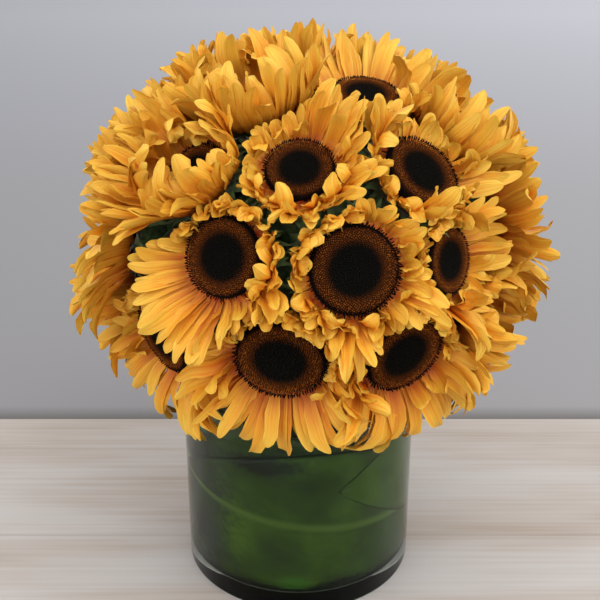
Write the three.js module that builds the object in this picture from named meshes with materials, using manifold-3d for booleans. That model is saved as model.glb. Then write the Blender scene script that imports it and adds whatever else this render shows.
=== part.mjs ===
// A dome of sunflowers in a low round glass vase that is lined with long green leaves.
// Millimetres, +Z up. The origin is the middle of the vase's foot, and the front is towards -Y.
// Each flower has a dark disc, a ring of ray petals and a green calyx on a stem. The calyxes and
// stems of one third of the dome hold together as a bunch, where the vase's neck presses them.
import * as THREE from "three";
import { mergeVertices } from "three/addons/utils/BufferGeometryUtils.js";
import Module from "manifold-3d";

const wasm = await Module();
wasm.setup();

// Driving dimensions.
const GAP = 0.35; // clearance between pieces that touch
const FACETS = 36; // sides of the vase and of everything wound against it

const VASE = { radius: 75, height: 150, wall: 4, floor: 12, foot: 1.5, corner: 2.5, lip: 1.3 };
const WATER = { radius: 67.3, level: 118 };

// The dome that the middles of the discs lie on.
const DOME = { centre: new THREE.Vector3(7, 0, 227), radius: 112, height: 93 };

// Each flower's azimuth, from the front towards the right, its polar angle on the dome and the
// size of its disc. Some are sunk below the dome, some look aside by an angle round the dome, and
// some have their petals pressed short, to a share of their full length. Crown first, then
// shoulder, belt and skirt.
const FLOWERS = [
  { azimuth: -68, polar: 18, size: 0.95 },
  { azimuth: 100, polar: 17, size: 0.88, aside: -80, petals: 0.86 },
  { azimuth: -157, polar: 34, size: 1 },
  { azimuth: -50, polar: 49, size: 0.85 },
  { azimuth: -5, polar: 41, size: 0.83, petals: 0.86 },
  { azimuth: 47, polar: 48, size: 1, petals: 0.87 },
  { azimuth: 97, polar: 48, size: 1 },
  { azimuth: 150, polar: 50, size: 1 },
  { azimuth: -104, polar: 49, size: 0.95 },
  { azimuth: -26, polar: 72, size: 0.96, petals: 0.8 },
  { azimuth: 12, polar: 74, size: 1.06, aside: -4, petals: 0.85 },
  { azimuth: 47, polar: 79, size: 0.84, sunk: 6, aside: 4, petals: 0.8 },
  { azimuth: 91, polar: 81, size: 0.92, sunk: 2, aside: 16 },
  { azimuth: 130, polar: 77, size: 1 },
  { azimuth: 168, polar: 78, size: 1.03 },
  { azimuth: -155, polar: 73, size: 1 },
  { azimuth: -123, polar: 85, size: 0.95 },
  { azimuth: -79, polar: 79, size: 0.92, sunk: 5, aside: -24 },
  { azimuth: -58, polar: 115, size: 1, aside: 8, petals: 0.94 },
  { azimuth: -9, polar: 107, size: 1.1, petals: 0.83 },
  { azimuth: 29, polar: 109, size: 1.05, petals: 0.9 },
  { azimuth: 71, polar: 112, size: 1 },
  { azimuth: 111, polar: 112, size: 1 },
  { azimuth: 151, polar: 112, size: 1.02 },
  { azimuth: -168, polar: 112, size: 1 },
  { azimuth: -97, polar: 111, size: 0.95, sunk: 3, aside: -14 },
];
const MOST_NOD = 101; // the steepest polar angle that a disc faces

// The walls that part the flowers: between which flowers they stand, how much they lean over the
// lower one, and how far petals and bracts keep from them.
const PARTING = { reach: 150, lean: 0.05, margin: 1.5 };

const DISC = { radius: 23.5, sectors: 10, rings: 3, back: -4.3, front: 2.3, bump: 0.5 };
const RAYS = { count: 20, length: 42, width: 13.6, top: -4.65, bottom: -7, lip: 3, keel: 1.5 };
// The steepest slopes that petals stand up at: those of free flowers, those of pressed ones, and
// short ones, whose length is below a share of the full length.
const CURL = { free: 74, pressed: 56, short: 120, below: 0.45 };
const LAYERS = [
  { wishes: [38, 24, 0], lengths: [0.36, 0.4, 0.24], widths: [0.96, 0.84, 0] },
  { wishes: [22, 0], lengths: [0.5, 0.5], widths: [1, 0] },
];
const CALYX = { bracts: 6, rim: 23, tip: 35, notch: 27, belly: 17, depth: 18 };
const STEM = { radius: 4.6, sides: 5 };
const BUNCH = { count: 3, offset: 25, waist: 153, pitch: 7.5, spread: 11, footSpread: 11.6 };

// The leaves wound against the inside of the glass, each between two azimuths: the radius of its
// outer face, how far it reaches above and below its midrib, and the midrib's height.
const LEAF_THICKNESS = 0.7;
const LEAVES = {
  liner_leaf_front: { from: -80, to: 150, radius: 69.55, up: 56, down: 72, rib: (a) => 63 - 0.17 * a },
  liner_leaf_side: { from: 20, to: 250, radius: 70.6, up: 52, down: 52, rib: (a) => 88 - 0.08 * a },
  liner_leaf_back: { from: 130, to: 470, radius: 68.5, up: 60, down: 78, rib: () => 78 },
};

const LOOKS = {
  glass: { color: 0xcfe0da, roughness: 0.05, metalness: 0 },
  water: { color: 0xb9cfc4, roughness: 0.05, metalness: 0 },
  leaf: { color: 0x2c4a1c, roughness: 0.45, metalness: 0 },
  petal: { color: 0xf2a81d, roughness: 0.6, metalness: 0 },
  disc: { color: 0x2a1509, roughness: 0.85, metalness: 0 },
  stem: { color: 0x4d7a3a, roughness: 0.6, metalness: 0 },
};

const UP = new THREE.Vector3(0, 0, 1);
const radians = THREE.MathUtils.degToRad;

// A repeatable random source.
function seeded(seed) {
  let state = seed;
  return () => {
    state = (state + 0x6d2b79f5) | 0;
    let t = Math.imul(state ^ (state >>> 15), 1 | state);
    t = (t + Math.imul(t ^ (t >>> 7), 61 | t)) ^ t;
    return ((t ^ (t >>> 14)) >>> 0) / 4294967296;
  };
}

// A closed mesh that is filled in corner by corner and face by face.
class Shell {
  constructor() {
    this.corners = [];
    this.triangles = [];
  }

  corner(x, y, z) {
    this.corners.push(x, y, z);
    return this.corners.length / 3 - 1;
  }

  // A ring of corners about the Z axis, its radius and height given for each.
  ring(count, radiusAt, heightAt, turn = 0) {
    return Array.from({ length: count }, (_, i) => {
      const angle = (2 * Math.PI * (i + turn)) / count;
      return this.corner(radiusAt(i) * Math.cos(angle), radiusAt(i) * Math.sin(angle), heightAt(i));
    });
  }

  // A flat face, its corners counted anticlockwise as seen from outside.
  face(...corners) {
    for (let i = 2; i < corners.length; i++) {
      this.triangles.push(corners[0], corners[i - 1], corners[i]);
    }
  }

  // The wall between two rings of equal count, facing away from the axis.
  band(low, high) {
    low.forEach((corner, i) => {
      const next = (i + 1) % low.length;
      this.face(corner, low[next], high[next]);
      this.face(corner, high[next], high[i]);
    });
  }

  geometry() {
    const made = new THREE.BufferGeometry();
    made.setAttribute("position", new THREE.Float32BufferAttribute(this.corners, 3));
    made.setIndex(this.triangles);
    return made;
  }
}

function toSolid(geometry) {
  const bare = geometry.clone();
  bare.deleteAttribute("normal");
  bare.deleteAttribute("uv");
  const merged = mergeVertices(bare, 1e-3);
  return new wasm.Manifold(
    new wasm.Mesh({
      numProp: 3,
      vertProperties: merged.attributes.position.array,
      triVerts: new Uint32Array(merged.index.array),
    }),
  );
}

function fromSolid(solid) {
  const mesh = solid.getMesh();
  const made = new THREE.BufferGeometry();
  const corners = new Float32Array(mesh.numVert * 3);
  for (let i = 0; i < mesh.numVert; i++) {
    const start = i * mesh.numProp;
    corners.set(mesh.vertProperties.subarray(start, start + 3), i * 3);
  }
  made.setAttribute("position", new THREE.BufferAttribute(corners, 3));
  made.setIndex(new THREE.BufferAttribute(new Uint32Array(mesh.triVerts), 1));
  return made;
}

function named(name, geometry, look) {
  const mesh = new THREE.Mesh(geometry, new THREE.MeshStandardMaterial(LOOKS[look]));
  mesh.name = name;
  return mesh;
}

// A point at an azimuth in degrees, from the front towards the right.
function around(azimuth, radius, height) {
  const angle = radians(azimuth);
  return new THREE.Vector3(radius * Math.sin(angle), -radius * Math.cos(angle), height);
}

// A flower's place and the way it faces. Its own frame has the disc's middle at the origin and
// +Z facing out of the disc.
function placeFlower({ azimuth, polar, size, sunk = 0, aside = 0, petals = 1 }, index) {
  const axes = new THREE.Vector3(DOME.radius, DOME.radius, DOME.height);
  const outward = around(azimuth, Math.sin(radians(polar)), Math.cos(radians(polar)));
  const facing = outward.clone().divide(axes).normalize().applyAxisAngle(UP, radians(aside));
  const steepest = Math.cos(radians(MOST_NOD));
  if (facing.z < steepest) {
    const level = Math.sin(radians(MOST_NOD)) / Math.hypot(facing.x, facing.y);
    facing.set(facing.x * level, facing.y * level, steepest);
  }
  const middle = outward.clone().multiply(axes).add(DOME.centre).addScaledVector(facing, -sunk);
  return {
    label: String(index + 1).padStart(2, "0"),
    azimuth,
    outward,
    middle,
    facing,
    size,
    reach: RAYS.length * petals,
    usual: petals < 1 ? CURL.pressed : CURL.free,
    turn: new THREE.Quaternion().setFromUnitVectors(UP, facing),
  };
}

// The flat walls that part a flower from its neighbours, in the flower's own frame. Each leans
// over the lower flower of the two, whose petals so come to lie under the upper one's.
function wallsOf(flower, flowers) {
  const { reach, lean } = PARTING;
  const home = flower.turn.clone().invert();
  const walls = [];
  for (const other of flowers) {
    const apart = other.middle.clone().sub(flower.middle);
    if (other === flower || apart.length() > reach) continue;
    const side = other.middle.z < flower.middle.z ? -1 : 1;
    const outward = other.outward.clone().add(flower.outward).normalize();
    const normal = apart.clone().normalize().addScaledVector(outward, side * lean).normalize();
    walls.push({
      normal: normal.applyQuaternion(home),
      distance: normal.dot(apart.applyQuaternion(home)) / 2,
    });
  }
  return walls;
}

function isInside(walls, point) {
  return walls.every((wall) => wall.normal.dot(point) < wall.distance - PARTING.margin);
}

// The disc: a shallow dish of packed florets, in facets that stand alternately high and low.
function discGeometry(flower) {
  const { radius, sectors, rings, back, front, bump } = DISC;
  const shell = new Shell();
  const size = radius * flower.size;
  const base = shell.ring(sectors, () => size * 0.97, () => back);
  let outer = shell.ring(sectors, () => size, () => 0.3);
  shell.face(...[...base].reverse());
  shell.band(base, outer);
  for (let ring = 1; ring < rings; ring++) {
    const share = 1 - (ring - 0.45) / rings;
    const height = front * (0.55 + 0.45 * share);
    const inner = shell.ring(
      sectors,
      () => size * share,
      (i) => height + (i % 2 ? bump : -bump),
      ring / 2,
    );
    shell.band(outer, inner);
    outer = inner;
  }
  const middle = shell.corner(0, 0, front * 0.5);
  outer.forEach((corner, i) => shell.face(middle, corner, outer[(i + 1) % sectors]));
  return shell.geometry();
}

// One cross-section of a petal: its two edges and the keel between them, or its tip.
function petalSection(direction, slope, radius, height, half) {
  const place = (r, across, z) => {
    const [cos, sin] = [Math.cos(direction), Math.sin(direction)];
    return new THREE.Vector3(r * cos - across * sin, r * sin + across * cos, z);
  };
  if (half === 0) return [place(radius, 0, height)];
  const [back, up] = [RAYS.keel * Math.sin(slope), RAYS.keel * Math.cos(slope)];
  return [
    place(radius, -half, height),
    place(radius, half, height),
    place(radius - back, 0, height + up),
  ];
}

// A petal grows in steps, three in the upper layer and two in the lower. It stands up more steeply
// where the next step would pass a wall, and past the flower's usual slope it stays shorter. Only
// the shortest petals may curl up further.
function growPetal(number, flower, walls, random) {
  const share = Math.PI / RAYS.count;
  const { wishes, lengths, widths } = LAYERS[number % 2];
  const slopes = wishes.map((wish) => wish + 12 * random());
  const sway = share * (random() - 0.5);
  const full = flower.reach * (0.92 + 0.16 * random());
  for (let length = full; length > full / 4; length *= 0.93) {
    const limit = length > full * CURL.below ? flower.usual : CURL.short;
    const sections = [];
    let [radius, height] = [DISC.radius * flower.size + RAYS.lip, (RAYS.top + RAYS.bottom) / 2];
    let steepest = 0;
    for (let i = 0; i < slopes.length; i++) {
      const direction = 2 * share * number + (widths[i] ? 0 : sway);
      const first = Math.max(slopes[i], steepest - 28);
      for (let slope = first; slope < limit && sections.length === i; slope += 3) {
        const angle = radians(slope);
        const r = radius + length * lengths[i] * Math.cos(angle);
        const z = height + length * lengths[i] * Math.sin(angle);
        const half = Math.min((RAYS.width / 2) * widths[i], Math.max(0.8, r * Math.tan(share) - GAP));
        const section = petalSection(direction, angle, r, z, half);
        if (r > 18 && section.every((point) => isInside(walls, point))) {
          sections.push(section);
          [radius, height, steepest] = [r, z, slope];
        }
      }
    }
    if (sections.length === slopes.length) return sections;
  }
  throw new Error(`petal ${number} of flower ${flower.label} finds no room`);
}

// The ray petals: a thin plate under the disc with a petal growing out of each of its sides.
function raysGeometry(flower, walls, random) {
  const { count, top, bottom, lip } = RAYS;
  const shell = new Shell();
  const root = DISC.radius * flower.size + lip;
  const high = shell.ring(count, () => root, () => top, -0.5);
  const low = shell.ring(count, () => root, () => bottom, -0.5);
  shell.face(...high);
  shell.face(...[...low].reverse());
  for (let number = 0; number < count; number++) {
    const next = (number + 1) % count;
    const [topA, topB, lowA, lowB] = [high[number], high[next], low[number], low[next]];
    const grown = growPetal(number, flower, walls, random);
    const sections = grown.map((section) => section.map((p) => shell.corner(p.x, p.y, p.z)));
    let [a, b, keel] = sections[0];
    shell.face(topA, a, keel);
    shell.face(topA, keel, topB);
    shell.face(topB, keel, b);
    shell.face(topA, lowA, a);
    shell.face(topB, b, lowB);
    shell.face(lowA, lowB, b, a);
    for (const [c, d, ridge] of sections.slice(1, -1)) {
      shell.face(a, c, ridge, keel);
      shell.face(keel, ridge, d, b);
      shell.face(a, b, d, c);
      [a, b, keel] = [c, d, ridge];
    }
    const [tip] = sections.at(-1);
    shell.face(a, tip, keel);
    shell.face(keel, tip, b);
    shell.face(a, b, tip);
  }
  return shell.geometry();
}

// The calyx: a cup behind the petals whose rim is cut into pointed bracts.
function calyxGeometry(flower, walls) {
  const { bracts, rim, tip, notch, belly, depth } = CALYX;
  const shell = new Shell();
  const count = bracts * 2;
  const [top, brim] = [RAYS.bottom - GAP, RAYS.bottom - GAP - 1.6];
  const reaches = Array.from({ length: count }, (_, i) => {
    const angle = (2 * Math.PI * i) / count;
    let reach = (i % 2 ? notch : tip) * flower.size;
    const place = () => new THREE.Vector3(reach * Math.cos(angle), reach * Math.sin(angle), brim);
    while (reach > rim && !isInside(walls, place())) reach -= 1;
    return reach;
  });
  const face = shell.ring(count, () => rim * flower.size, () => top);
  const edge = shell.ring(count, (i) => reaches[i], () => brim);
  const waist = shell.ring(count, () => belly, () => top - depth / 2);
  const point = shell.corner(0, 0, top - depth);
  shell.face(...face);
  shell.band(edge, face);
  shell.band(waist, edge);
  waist.forEach((corner, i) => shell.face(waist[(i + 1) % count], corner, point));
  return shell.geometry();
}

// A tube of flat sides along a line of points.
function tubeGeometry(points, radius) {
  const shell = new Shell();
  const across = new THREE.Vector3(1, 0, 0);
  const rings = points.map((point, i) => {
    const before = points[Math.max(i - 1, 0)];
    const after = points[Math.min(i + 1, points.length - 1)];
    const along = after.clone().sub(before).normalize();
    across.addScaledVector(along, -across.dot(along)).normalize();
    const other = new THREE.Vector3().crossVectors(along, across);
    return Array.from({ length: STEM.sides }, (_, side) => {
      const angle = (2 * Math.PI * side) / STEM.sides;
      const spot = point.clone();
      spot.addScaledVector(across, radius * Math.cos(angle));
      spot.addScaledVector(other, radius * Math.sin(angle));
      return shell.corner(spot.x, spot.y, spot.z);
    });
  });
  rings.slice(1).forEach((ring, i) => shell.band(rings[i], ring));
  shell.face(...[...rings[0]].reverse());
  shell.face(...rings.at(-1));
  return shell.geometry();
}

// A bunch's places at its waist, as multiples of its pitch: the middle, six round it, six beyond.
function bunchPlaces(count) {
  const places = [new THREE.Vector2(0, 0)];
  for (let i = 0; i < 12; i++) {
    const angle = (Math.PI / 3) * (i + (i < 6 ? 0 : 0.5));
    const radius = i < 6 ? 1 : Math.sqrt(3);
    places.push(new THREE.Vector2(radius * Math.cos(angle), radius * Math.sin(angle)));
  }
  return places.slice(0, count);
}

// Gives each flower of a bunch a place at the waist, so that stems cross as little as possible.
function dealPlaces(members) {
  const mean = members.reduce((sum, f) => sum.add(f.middle), new THREE.Vector3());
  mean.divideScalar(members.length);
  const places = bunchPlaces(members.length);
  const cost = (flower, place) =>
    Math.hypot((flower.middle.x - mean.x) / 38 - place.x, (flower.middle.y - mean.y) / 38 - place.y);
  for (let round = 0; round < members.length; round++) {
    for (let i = 0; i < members.length; i++) {
      for (let j = 0; j < i; j++) {
        const kept = cost(members[i], places[i]) + cost(members[j], places[j]);
        const swapped = cost(members[i], places[j]) + cost(members[j], places[i]);
        if (swapped < kept) [places[i], places[j]] = [places[j], places[i]];
      }
    }
  }
  return places;
}

// A stem's line, from the vase's floor up through the waist of its bunch and into its calyx.
function stemLine(flower, middle, place, foot) {
  const at = (spread, height) =>
    new THREE.Vector3(middle.x + place.x * spread, middle.y + place.y * spread, height);
  const head = flower.facing.clone().multiplyScalar(RAYS.bottom - CALYX.depth * 0.6).add(flower.middle);
  const neck = flower.facing.clone().multiplyScalar(-24).add(head);
  const waist = at(BUNCH.pitch, BUNCH.waist);
  const above = waist.clone().lerp(neck, 0.3).setZ(BUNCH.waist + 17);
  const bend = new THREE.CatmullRomCurve3([waist, above, neck, head], false, "centripetal");
  return [at(BUNCH.footSpread, foot), at(BUNCH.spread, WATER.level + 8), ...bend.getPoints(3)];
}

function vaseGeometry() {
  const { radius, height, wall, floor, foot, corner, lip } = VASE;
  const inner = radius - wall;
  const profile = [
    [0, 0],
    [radius - foot, 0],
    [radius, foot],
    [radius, height - lip],
    [radius - lip, height],
    [inner + lip, height],
    [inner, height - lip],
    [inner, floor + corner],
    [inner - corner, floor],
    [0, floor],
  ];
  const points = profile.map(([r, z]) => new THREE.Vector2(r, z));
  return new THREE.LatheGeometry(points, FACETS).rotateX(Math.PI / 2);
}

// A leaf wound round the inside of the glass, pointed at both ends, folded flat along its midrib.
function leafGeometry({ from, to, radius, up, down, rib }) {
  const shell = new Shell();
  const steps = Math.round(((to - from) / 360) * FACETS);
  const [lowest, highest] = [VASE.floor + 3, VASE.height - 4];
  const columns = Array.from({ length: steps + 1 }, (_, i) => {
    const azimuth = from + ((to - from) * i) / steps;
    const share = (i + 0.25) / (steps + 0.5);
    const fullness = Math.sin(Math.PI * share ** 0.9);
    const middle = rib(azimuth);
    const heights = [middle - down * fullness ** (down > up ? 0.45 : 1), middle, middle + up * fullness];
    return [0, LEAF_THICKNESS].map((depth) =>
      heights.map((height) => {
        const clamped = THREE.MathUtils.clamp(height, lowest, highest);
        const spot = around(azimuth, radius - depth, clamped);
        return shell.corner(spot.x, spot.y, spot.z);
      }),
    );
  });
  columns.slice(1).forEach(([front, back], i) => {
    const [lastFront, lastBack] = columns[i];
    for (const k of [0, 1]) {
      shell.face(lastFront[k], front[k], front[k + 1], lastFront[k + 1]);
      shell.face(lastBack[k], lastBack[k + 1], back[k + 1], back[k]);
    }
    shell.face(lastFront[0], lastBack[0], back[0], front[0]);
    shell.face(lastFront[2], front[2], back[2], lastBack[2]);
  });
  for (const k of [0, 1]) {
    const [[front, back], [lastFront, lastBack]] = [columns[0], columns.at(-1)];
    shell.face(front[k], front[k + 1], back[k + 1], back[k]);
    shell.face(lastFront[k], lastBack[k], lastBack[k + 1], lastFront[k + 1]);
  }
  return shell.geometry();
}

// The water, with a hole for every stem that stands in it.
function waterGeometry(lines) {
  const floor = VASE.floor + GAP;
  const body = new THREE.CylinderGeometry(WATER.radius, WATER.radius, WATER.level - floor, FACETS);
  body.rotateX(Math.PI / 2);
  body.translate(0, 0, (WATER.level + floor) / 2);
  const holes = lines.map((line) => toSolid(tubeGeometry(line.slice(0, 3), STEM.radius + 1.3 * GAP)));
  return fromSolid(holes.reduce((water, hole) => water.subtract(hole), toSolid(body)));
}

const group = new THREE.Group();
const random = seeded(2024);
const flowers = FLOWERS.map(placeFlower);
const bunches = Array.from({ length: BUNCH.count }, () => []);

group.add(named("vase", vaseGeometry(), "glass"));
for (const [name, leaf] of Object.entries(LEAVES)) {
  group.add(named(name, leafGeometry(leaf), "leaf"));
}

for (const flower of flowers) {
  flower.walls = wallsOf(flower, flowers);
  const head = new THREE.Group();
  head.position.copy(flower.middle);
  head.quaternion.copy(flower.turn);
  head.add(named(`disc_${flower.label}`, discGeometry(flower), "disc"));
  head.add(named(`petals_${flower.label}`, raysGeometry(flower, flower.walls, random), "petal"));
  group.add(head);
  const share = 360 / BUNCH.count;
  bunches[Math.floor((flower.azimuth + 360 + share / 2) / share) % BUNCH.count].push(flower);
}

const holes = [];
bunches.forEach((members, number) => {
  const middle = around((number * 360) / BUNCH.count, BUNCH.offset, 0);
  const places = dealPlaces(members);
  const pieces = members.flatMap((flower, i) => {
    const cup = calyxGeometry(flower, flower.walls).applyQuaternion(flower.turn);
    cup.translate(...flower.middle);
    holes.push(stemLine(flower, middle, places[i], VASE.floor - 5));
    const line = stemLine(flower, middle, places[i], VASE.floor + GAP);
    return [toSolid(cup), toSolid(tubeGeometry(line, STEM.radius))];
  });
  group.add(named(`stem_bunch_${number + 1}`, fromSolid(wasm.Manifold.union(pieces)), "stem"));
});

group.add(named("water", waterGeometry(holes), "water"));

export default group;
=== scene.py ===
"""Sunflowers in a low round glass vase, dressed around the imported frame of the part.

The frame gives every bloom its place, its turn and the line of each of its petals. On these the
script grows fine petals, packed florets, bracts and stems, and it blows the glass and lays the
leaves that line it. Sizes are millimetres unless their description says otherwise; MM turns them
to metres.
"""

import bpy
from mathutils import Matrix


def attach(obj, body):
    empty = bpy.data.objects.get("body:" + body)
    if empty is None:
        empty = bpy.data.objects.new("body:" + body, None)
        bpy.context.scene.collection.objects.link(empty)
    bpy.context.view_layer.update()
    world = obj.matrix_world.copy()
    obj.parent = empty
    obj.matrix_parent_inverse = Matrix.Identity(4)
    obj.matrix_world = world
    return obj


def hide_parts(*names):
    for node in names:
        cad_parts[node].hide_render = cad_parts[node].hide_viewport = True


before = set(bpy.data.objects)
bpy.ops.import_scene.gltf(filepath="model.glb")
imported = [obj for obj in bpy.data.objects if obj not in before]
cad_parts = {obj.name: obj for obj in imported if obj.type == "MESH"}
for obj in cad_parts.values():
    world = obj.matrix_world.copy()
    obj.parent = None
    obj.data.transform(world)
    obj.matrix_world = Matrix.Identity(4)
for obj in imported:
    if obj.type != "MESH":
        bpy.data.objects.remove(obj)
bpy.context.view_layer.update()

import logging
import math
from collections.abc import Callable, Sequence
from dataclasses import dataclass, field
from enum import Enum

import bpy
import numpy as np
from mathutils import Matrix, Vector

MM = 0.001
PETAL_SHARES = np.array([0, 0.12, 0.28, 0.44, 0.6, 0.74, 0.86, 0.94, 0.985, 1.0])
GOLDEN_ANGLE = math.pi * (3 - math.sqrt(5))
QUARTER_TURN = [math.radians(angle) for angle in (0, 22.5, 45, 67.5, 90)]
log = logging.getLogger("sunflowers")


class Slot(Enum):
    """The record's material slots."""

    GLASS = "glass"
    WATER = "water"
    LEAF = "leaf"
    PETAL = "petal"
    DISC = "disc"
    STEM = "stem"


def linear(code: str) -> tuple[float, float, float, float]:
    """Turns an sRGB hex colour to linear light.

    Args:
        code: The colour as six hex digits.

    Returns:
        Red, green, blue and an alpha of one.
    """
    parts = [int(code[i : i + 2], 16) / 255 for i in (0, 2, 4)]
    return (*(p / 12.92 if p <= 0.04045 else ((p + 0.055) / 1.055) ** 2.4 for p in parts), 1.0)


def add(
    tree: bpy.types.NodeTree, kind: str, inputs: dict | None = None, stops: Sequence = (), **settings: object
) -> bpy.types.Node:
    """Adds a node to a tree.

    Args:
        tree: The tree that it joins.
        kind: The node's type.
        inputs: For each input, by name or number, its value or the output that it is linked to.
        stops: For a colour ramp, each stop's place from 0 to 1 and its hex colour.
        **settings: The node's own properties.

    Returns:
        The node.
    """
    node = tree.nodes.new(kind)
    for name, value in settings.items():
        setattr(node, name, value)
    for key, value in (inputs or {}).items():
        if isinstance(value, bpy.types.NodeSocket):
            tree.links.new(value, node.inputs[key])
        else:
            node.inputs[key].default_value = value
    for number, (place, code) in enumerate(stops):
        if number == len(node.color_ramp.elements):
            node.color_ramp.elements.new(1.0)
        node.color_ramp.elements[number].position = place
        node.color_ramp.elements[number].color = linear(code)
    return node


def fresh_material(name: str) -> tuple[bpy.types.Material, bpy.types.NodeTree]:
    """Makes an empty node material.

    Args:
        name: What the real material is.

    Returns:
        The material and its tree.
    """
    material = bpy.data.materials.new(name)
    material.use_nodes = True
    material.node_tree.nodes.clear()
    return material, material.node_tree


@dataclass(frozen=True)
class RayPetalFinish:
    """Living ray petal: thin, satin and a little translucent, deepest in colour at its root, partly its own
    colour and partly painted shade.

    Attributes:
        roughness: How dull it is.
        translucency: How much of the light goes through it.
        vein_mm: How far apart its veins are.
        width_mm: The width of a petal.
        pale_rim: How much paler it is along its rims.
        variety: How far petals differ in depth of colour.
        colour_and_root_shade: Its colours from the root to the tip; the deep ones at the root are partly
            painted shade.
    """

    roughness: float = 0.5
    translucency: float = 0.05
    vein_mm: float = 1.1
    width_mm: float = 13.0
    pale_rim: float = 0.16
    variety: float = 0.3
    colour_and_root_shade: tuple[tuple[float, str], ...] = (
        (0.0, "A64408"),
        (0.2, "CC7017"),
        (0.42, "E59C2C"),
        (0.66, "F2BB3A"),
        (1.0, "F3CC4E"),
    )

    def material(self) -> bpy.types.Material:
        """Builds the material.

        Returns:
            The material.
        """
        material, tree = fresh_material("Sunflower ray petal")
        along, across, tone = (
            add(tree, "ShaderNodeAttribute", attribute_name=name).outputs["Fac"]
            for name in ("along", "across", "tone")
        )
        # The colour deepens towards the root, partly as painted shade near the disc, and towards the middle.
        # Each petal is a little lighter or deeper by its tone, which carries chance, painted light and
        # painted shade.
        rim = add(tree, "ShaderNodeMath", {0: across, 1: across}, operation="MULTIPLY")
        terms = {0: rim.outputs[0], 1: self.pale_rim, 2: along}
        margin = add(tree, "ShaderNodeMath", terms, operation="MULTIPLY_ADD")
        terms = {0: tone, 1: self.variety, 2: margin.outputs[0]}
        shifted = add(tree, "ShaderNodeMath", terms, operation="MULTIPLY_ADD")
        terms = {0: shifted.outputs[0], 1: self.variety / 2}
        centred = add(tree, "ShaderNodeMath", terms, operation="SUBTRACT")
        colour_and_root_shade = add(tree, "ShaderNodeValToRGB", {"Fac": centred.outputs[0]}, stops=self.colour_and_root_shade)
        # Fine veins run the whole length, one about every millimetre of the width.
        drawn = add(tree, "ShaderNodeMath", {0: along, 1: 0.12}, operation="MULTIPLY")
        place = add(tree, "ShaderNodeCombineXYZ", {"X": across, "Y": drawn.outputs[0]})
        which = add(tree, "ShaderNodeMath", {0: tone, 1: 90.0}, operation="MULTIPLY")
        lines = add(
            tree,
            "ShaderNodeTexNoise",
            {
                "Vector": place.outputs[0],
                "W": which.outputs[0],
                "Scale": self.width_mm / 2 / self.vein_mm,
                "Detail": 2.0,
                "Roughness": 0.6,
            },
            noise_dimensions="4D",
        )
        # The veins darken the colour along them: partly their own colour, partly painted shade in the grooves
        # between them.
        vein_and_groove_shade = add(
            tree,
            "ShaderNodeMapRange",
            {"Value": lines.outputs["Fac"], "From Min": 0.35, "From Max": 0.68, "To Min": 0.0, "To Max": 0.7},
        )
        shade = add(
            tree,
            "ShaderNodeMix",
            {0: vein_and_groove_shade.outputs["Result"], 6: colour_and_root_shade.outputs["Color"], 7: linear("F4B574")},
            data_type="RGBA",
            blend_type="MULTIPLY",
        )
        bump = add(
            tree, "ShaderNodeBump", {"Height": lines.outputs["Fac"], "Strength": 0.8, "Distance": 0.6 * MM}
        )
        shader = add(
            tree,
            "ShaderNodeBsdfPrincipled",
            {
                "Base Color": shade.outputs[2],
                "Normal": bump.outputs["Normal"],
                "Roughness": self.roughness,
                "Specular IOR Level": 0.3,
                "Subsurface Weight": self.translucency,
                "Subsurface Radius": (1.0, 0.35, 0.03),
                "Subsurface Scale": 1.2 * MM,
            },
        )
        add(tree, "ShaderNodeOutputMaterial", {"Surface": shader.outputs["BSDF"]})
        return material


@dataclass(frozen=True)
class FloretFinish:
    """Dry packed disc florets: dull, near black at rim and middle, rust brown between.

    Attributes:
        roughness: How dull they are.
        hollows: Their colours low down, from the disc's middle to its rim.
        tips: Their colours at the top.
    """

    roughness: float = 0.85
    hollows: tuple[tuple[float, str], ...] = (
        (0.0, "0A0B08"),
        (0.54, "0E0B07"),
        (0.66, "4A2408"),
        (0.86, "421E08"),
        (0.925, "060302"),
    )
    tips: tuple[tuple[float, str], ...] = (
        (0.0, "191B14"),
        (0.5, "1D1710"),
        (0.64, "6E3810"),
        (0.78, "B4641C"),
        (0.88, "96501A"),
        (0.93, "0C0604"),
    )

    def material(self) -> bpy.types.Material:
        """Builds the material.

        Returns:
            The material.
        """
        material, tree = fresh_material("Sunflower disc florets")
        ring, rise, tone = (
            add(tree, "ShaderNodeAttribute", attribute_name=name).outputs["Fac"]
            for name in ("ring", "rise", "tone")
        )
        deep = add(tree, "ShaderNodeValToRGB", {"Fac": ring}, stops=self.hollows)
        tips = add(tree, "ShaderNodeValToRGB", {"Fac": ring}, stops=self.tips)
        lift = add(tree, "ShaderNodeMath", {0: rise, 1: tone}, operation="MULTIPLY")
        both = {0: lift.outputs[0], 6: deep.outputs[0], 7: tips.outputs[0]}
        colour = add(tree, "ShaderNodeMix", both, data_type="RGBA").outputs[2]
        dull = {"Base Color": colour, "Roughness": self.roughness, "Specular IOR Level": 0.12}
        shader = add(tree, "ShaderNodeBsdfPrincipled", dull)
        add(tree, "ShaderNodeOutputMaterial", {"Surface": shader.outputs["BSDF"]})
        return material


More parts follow.
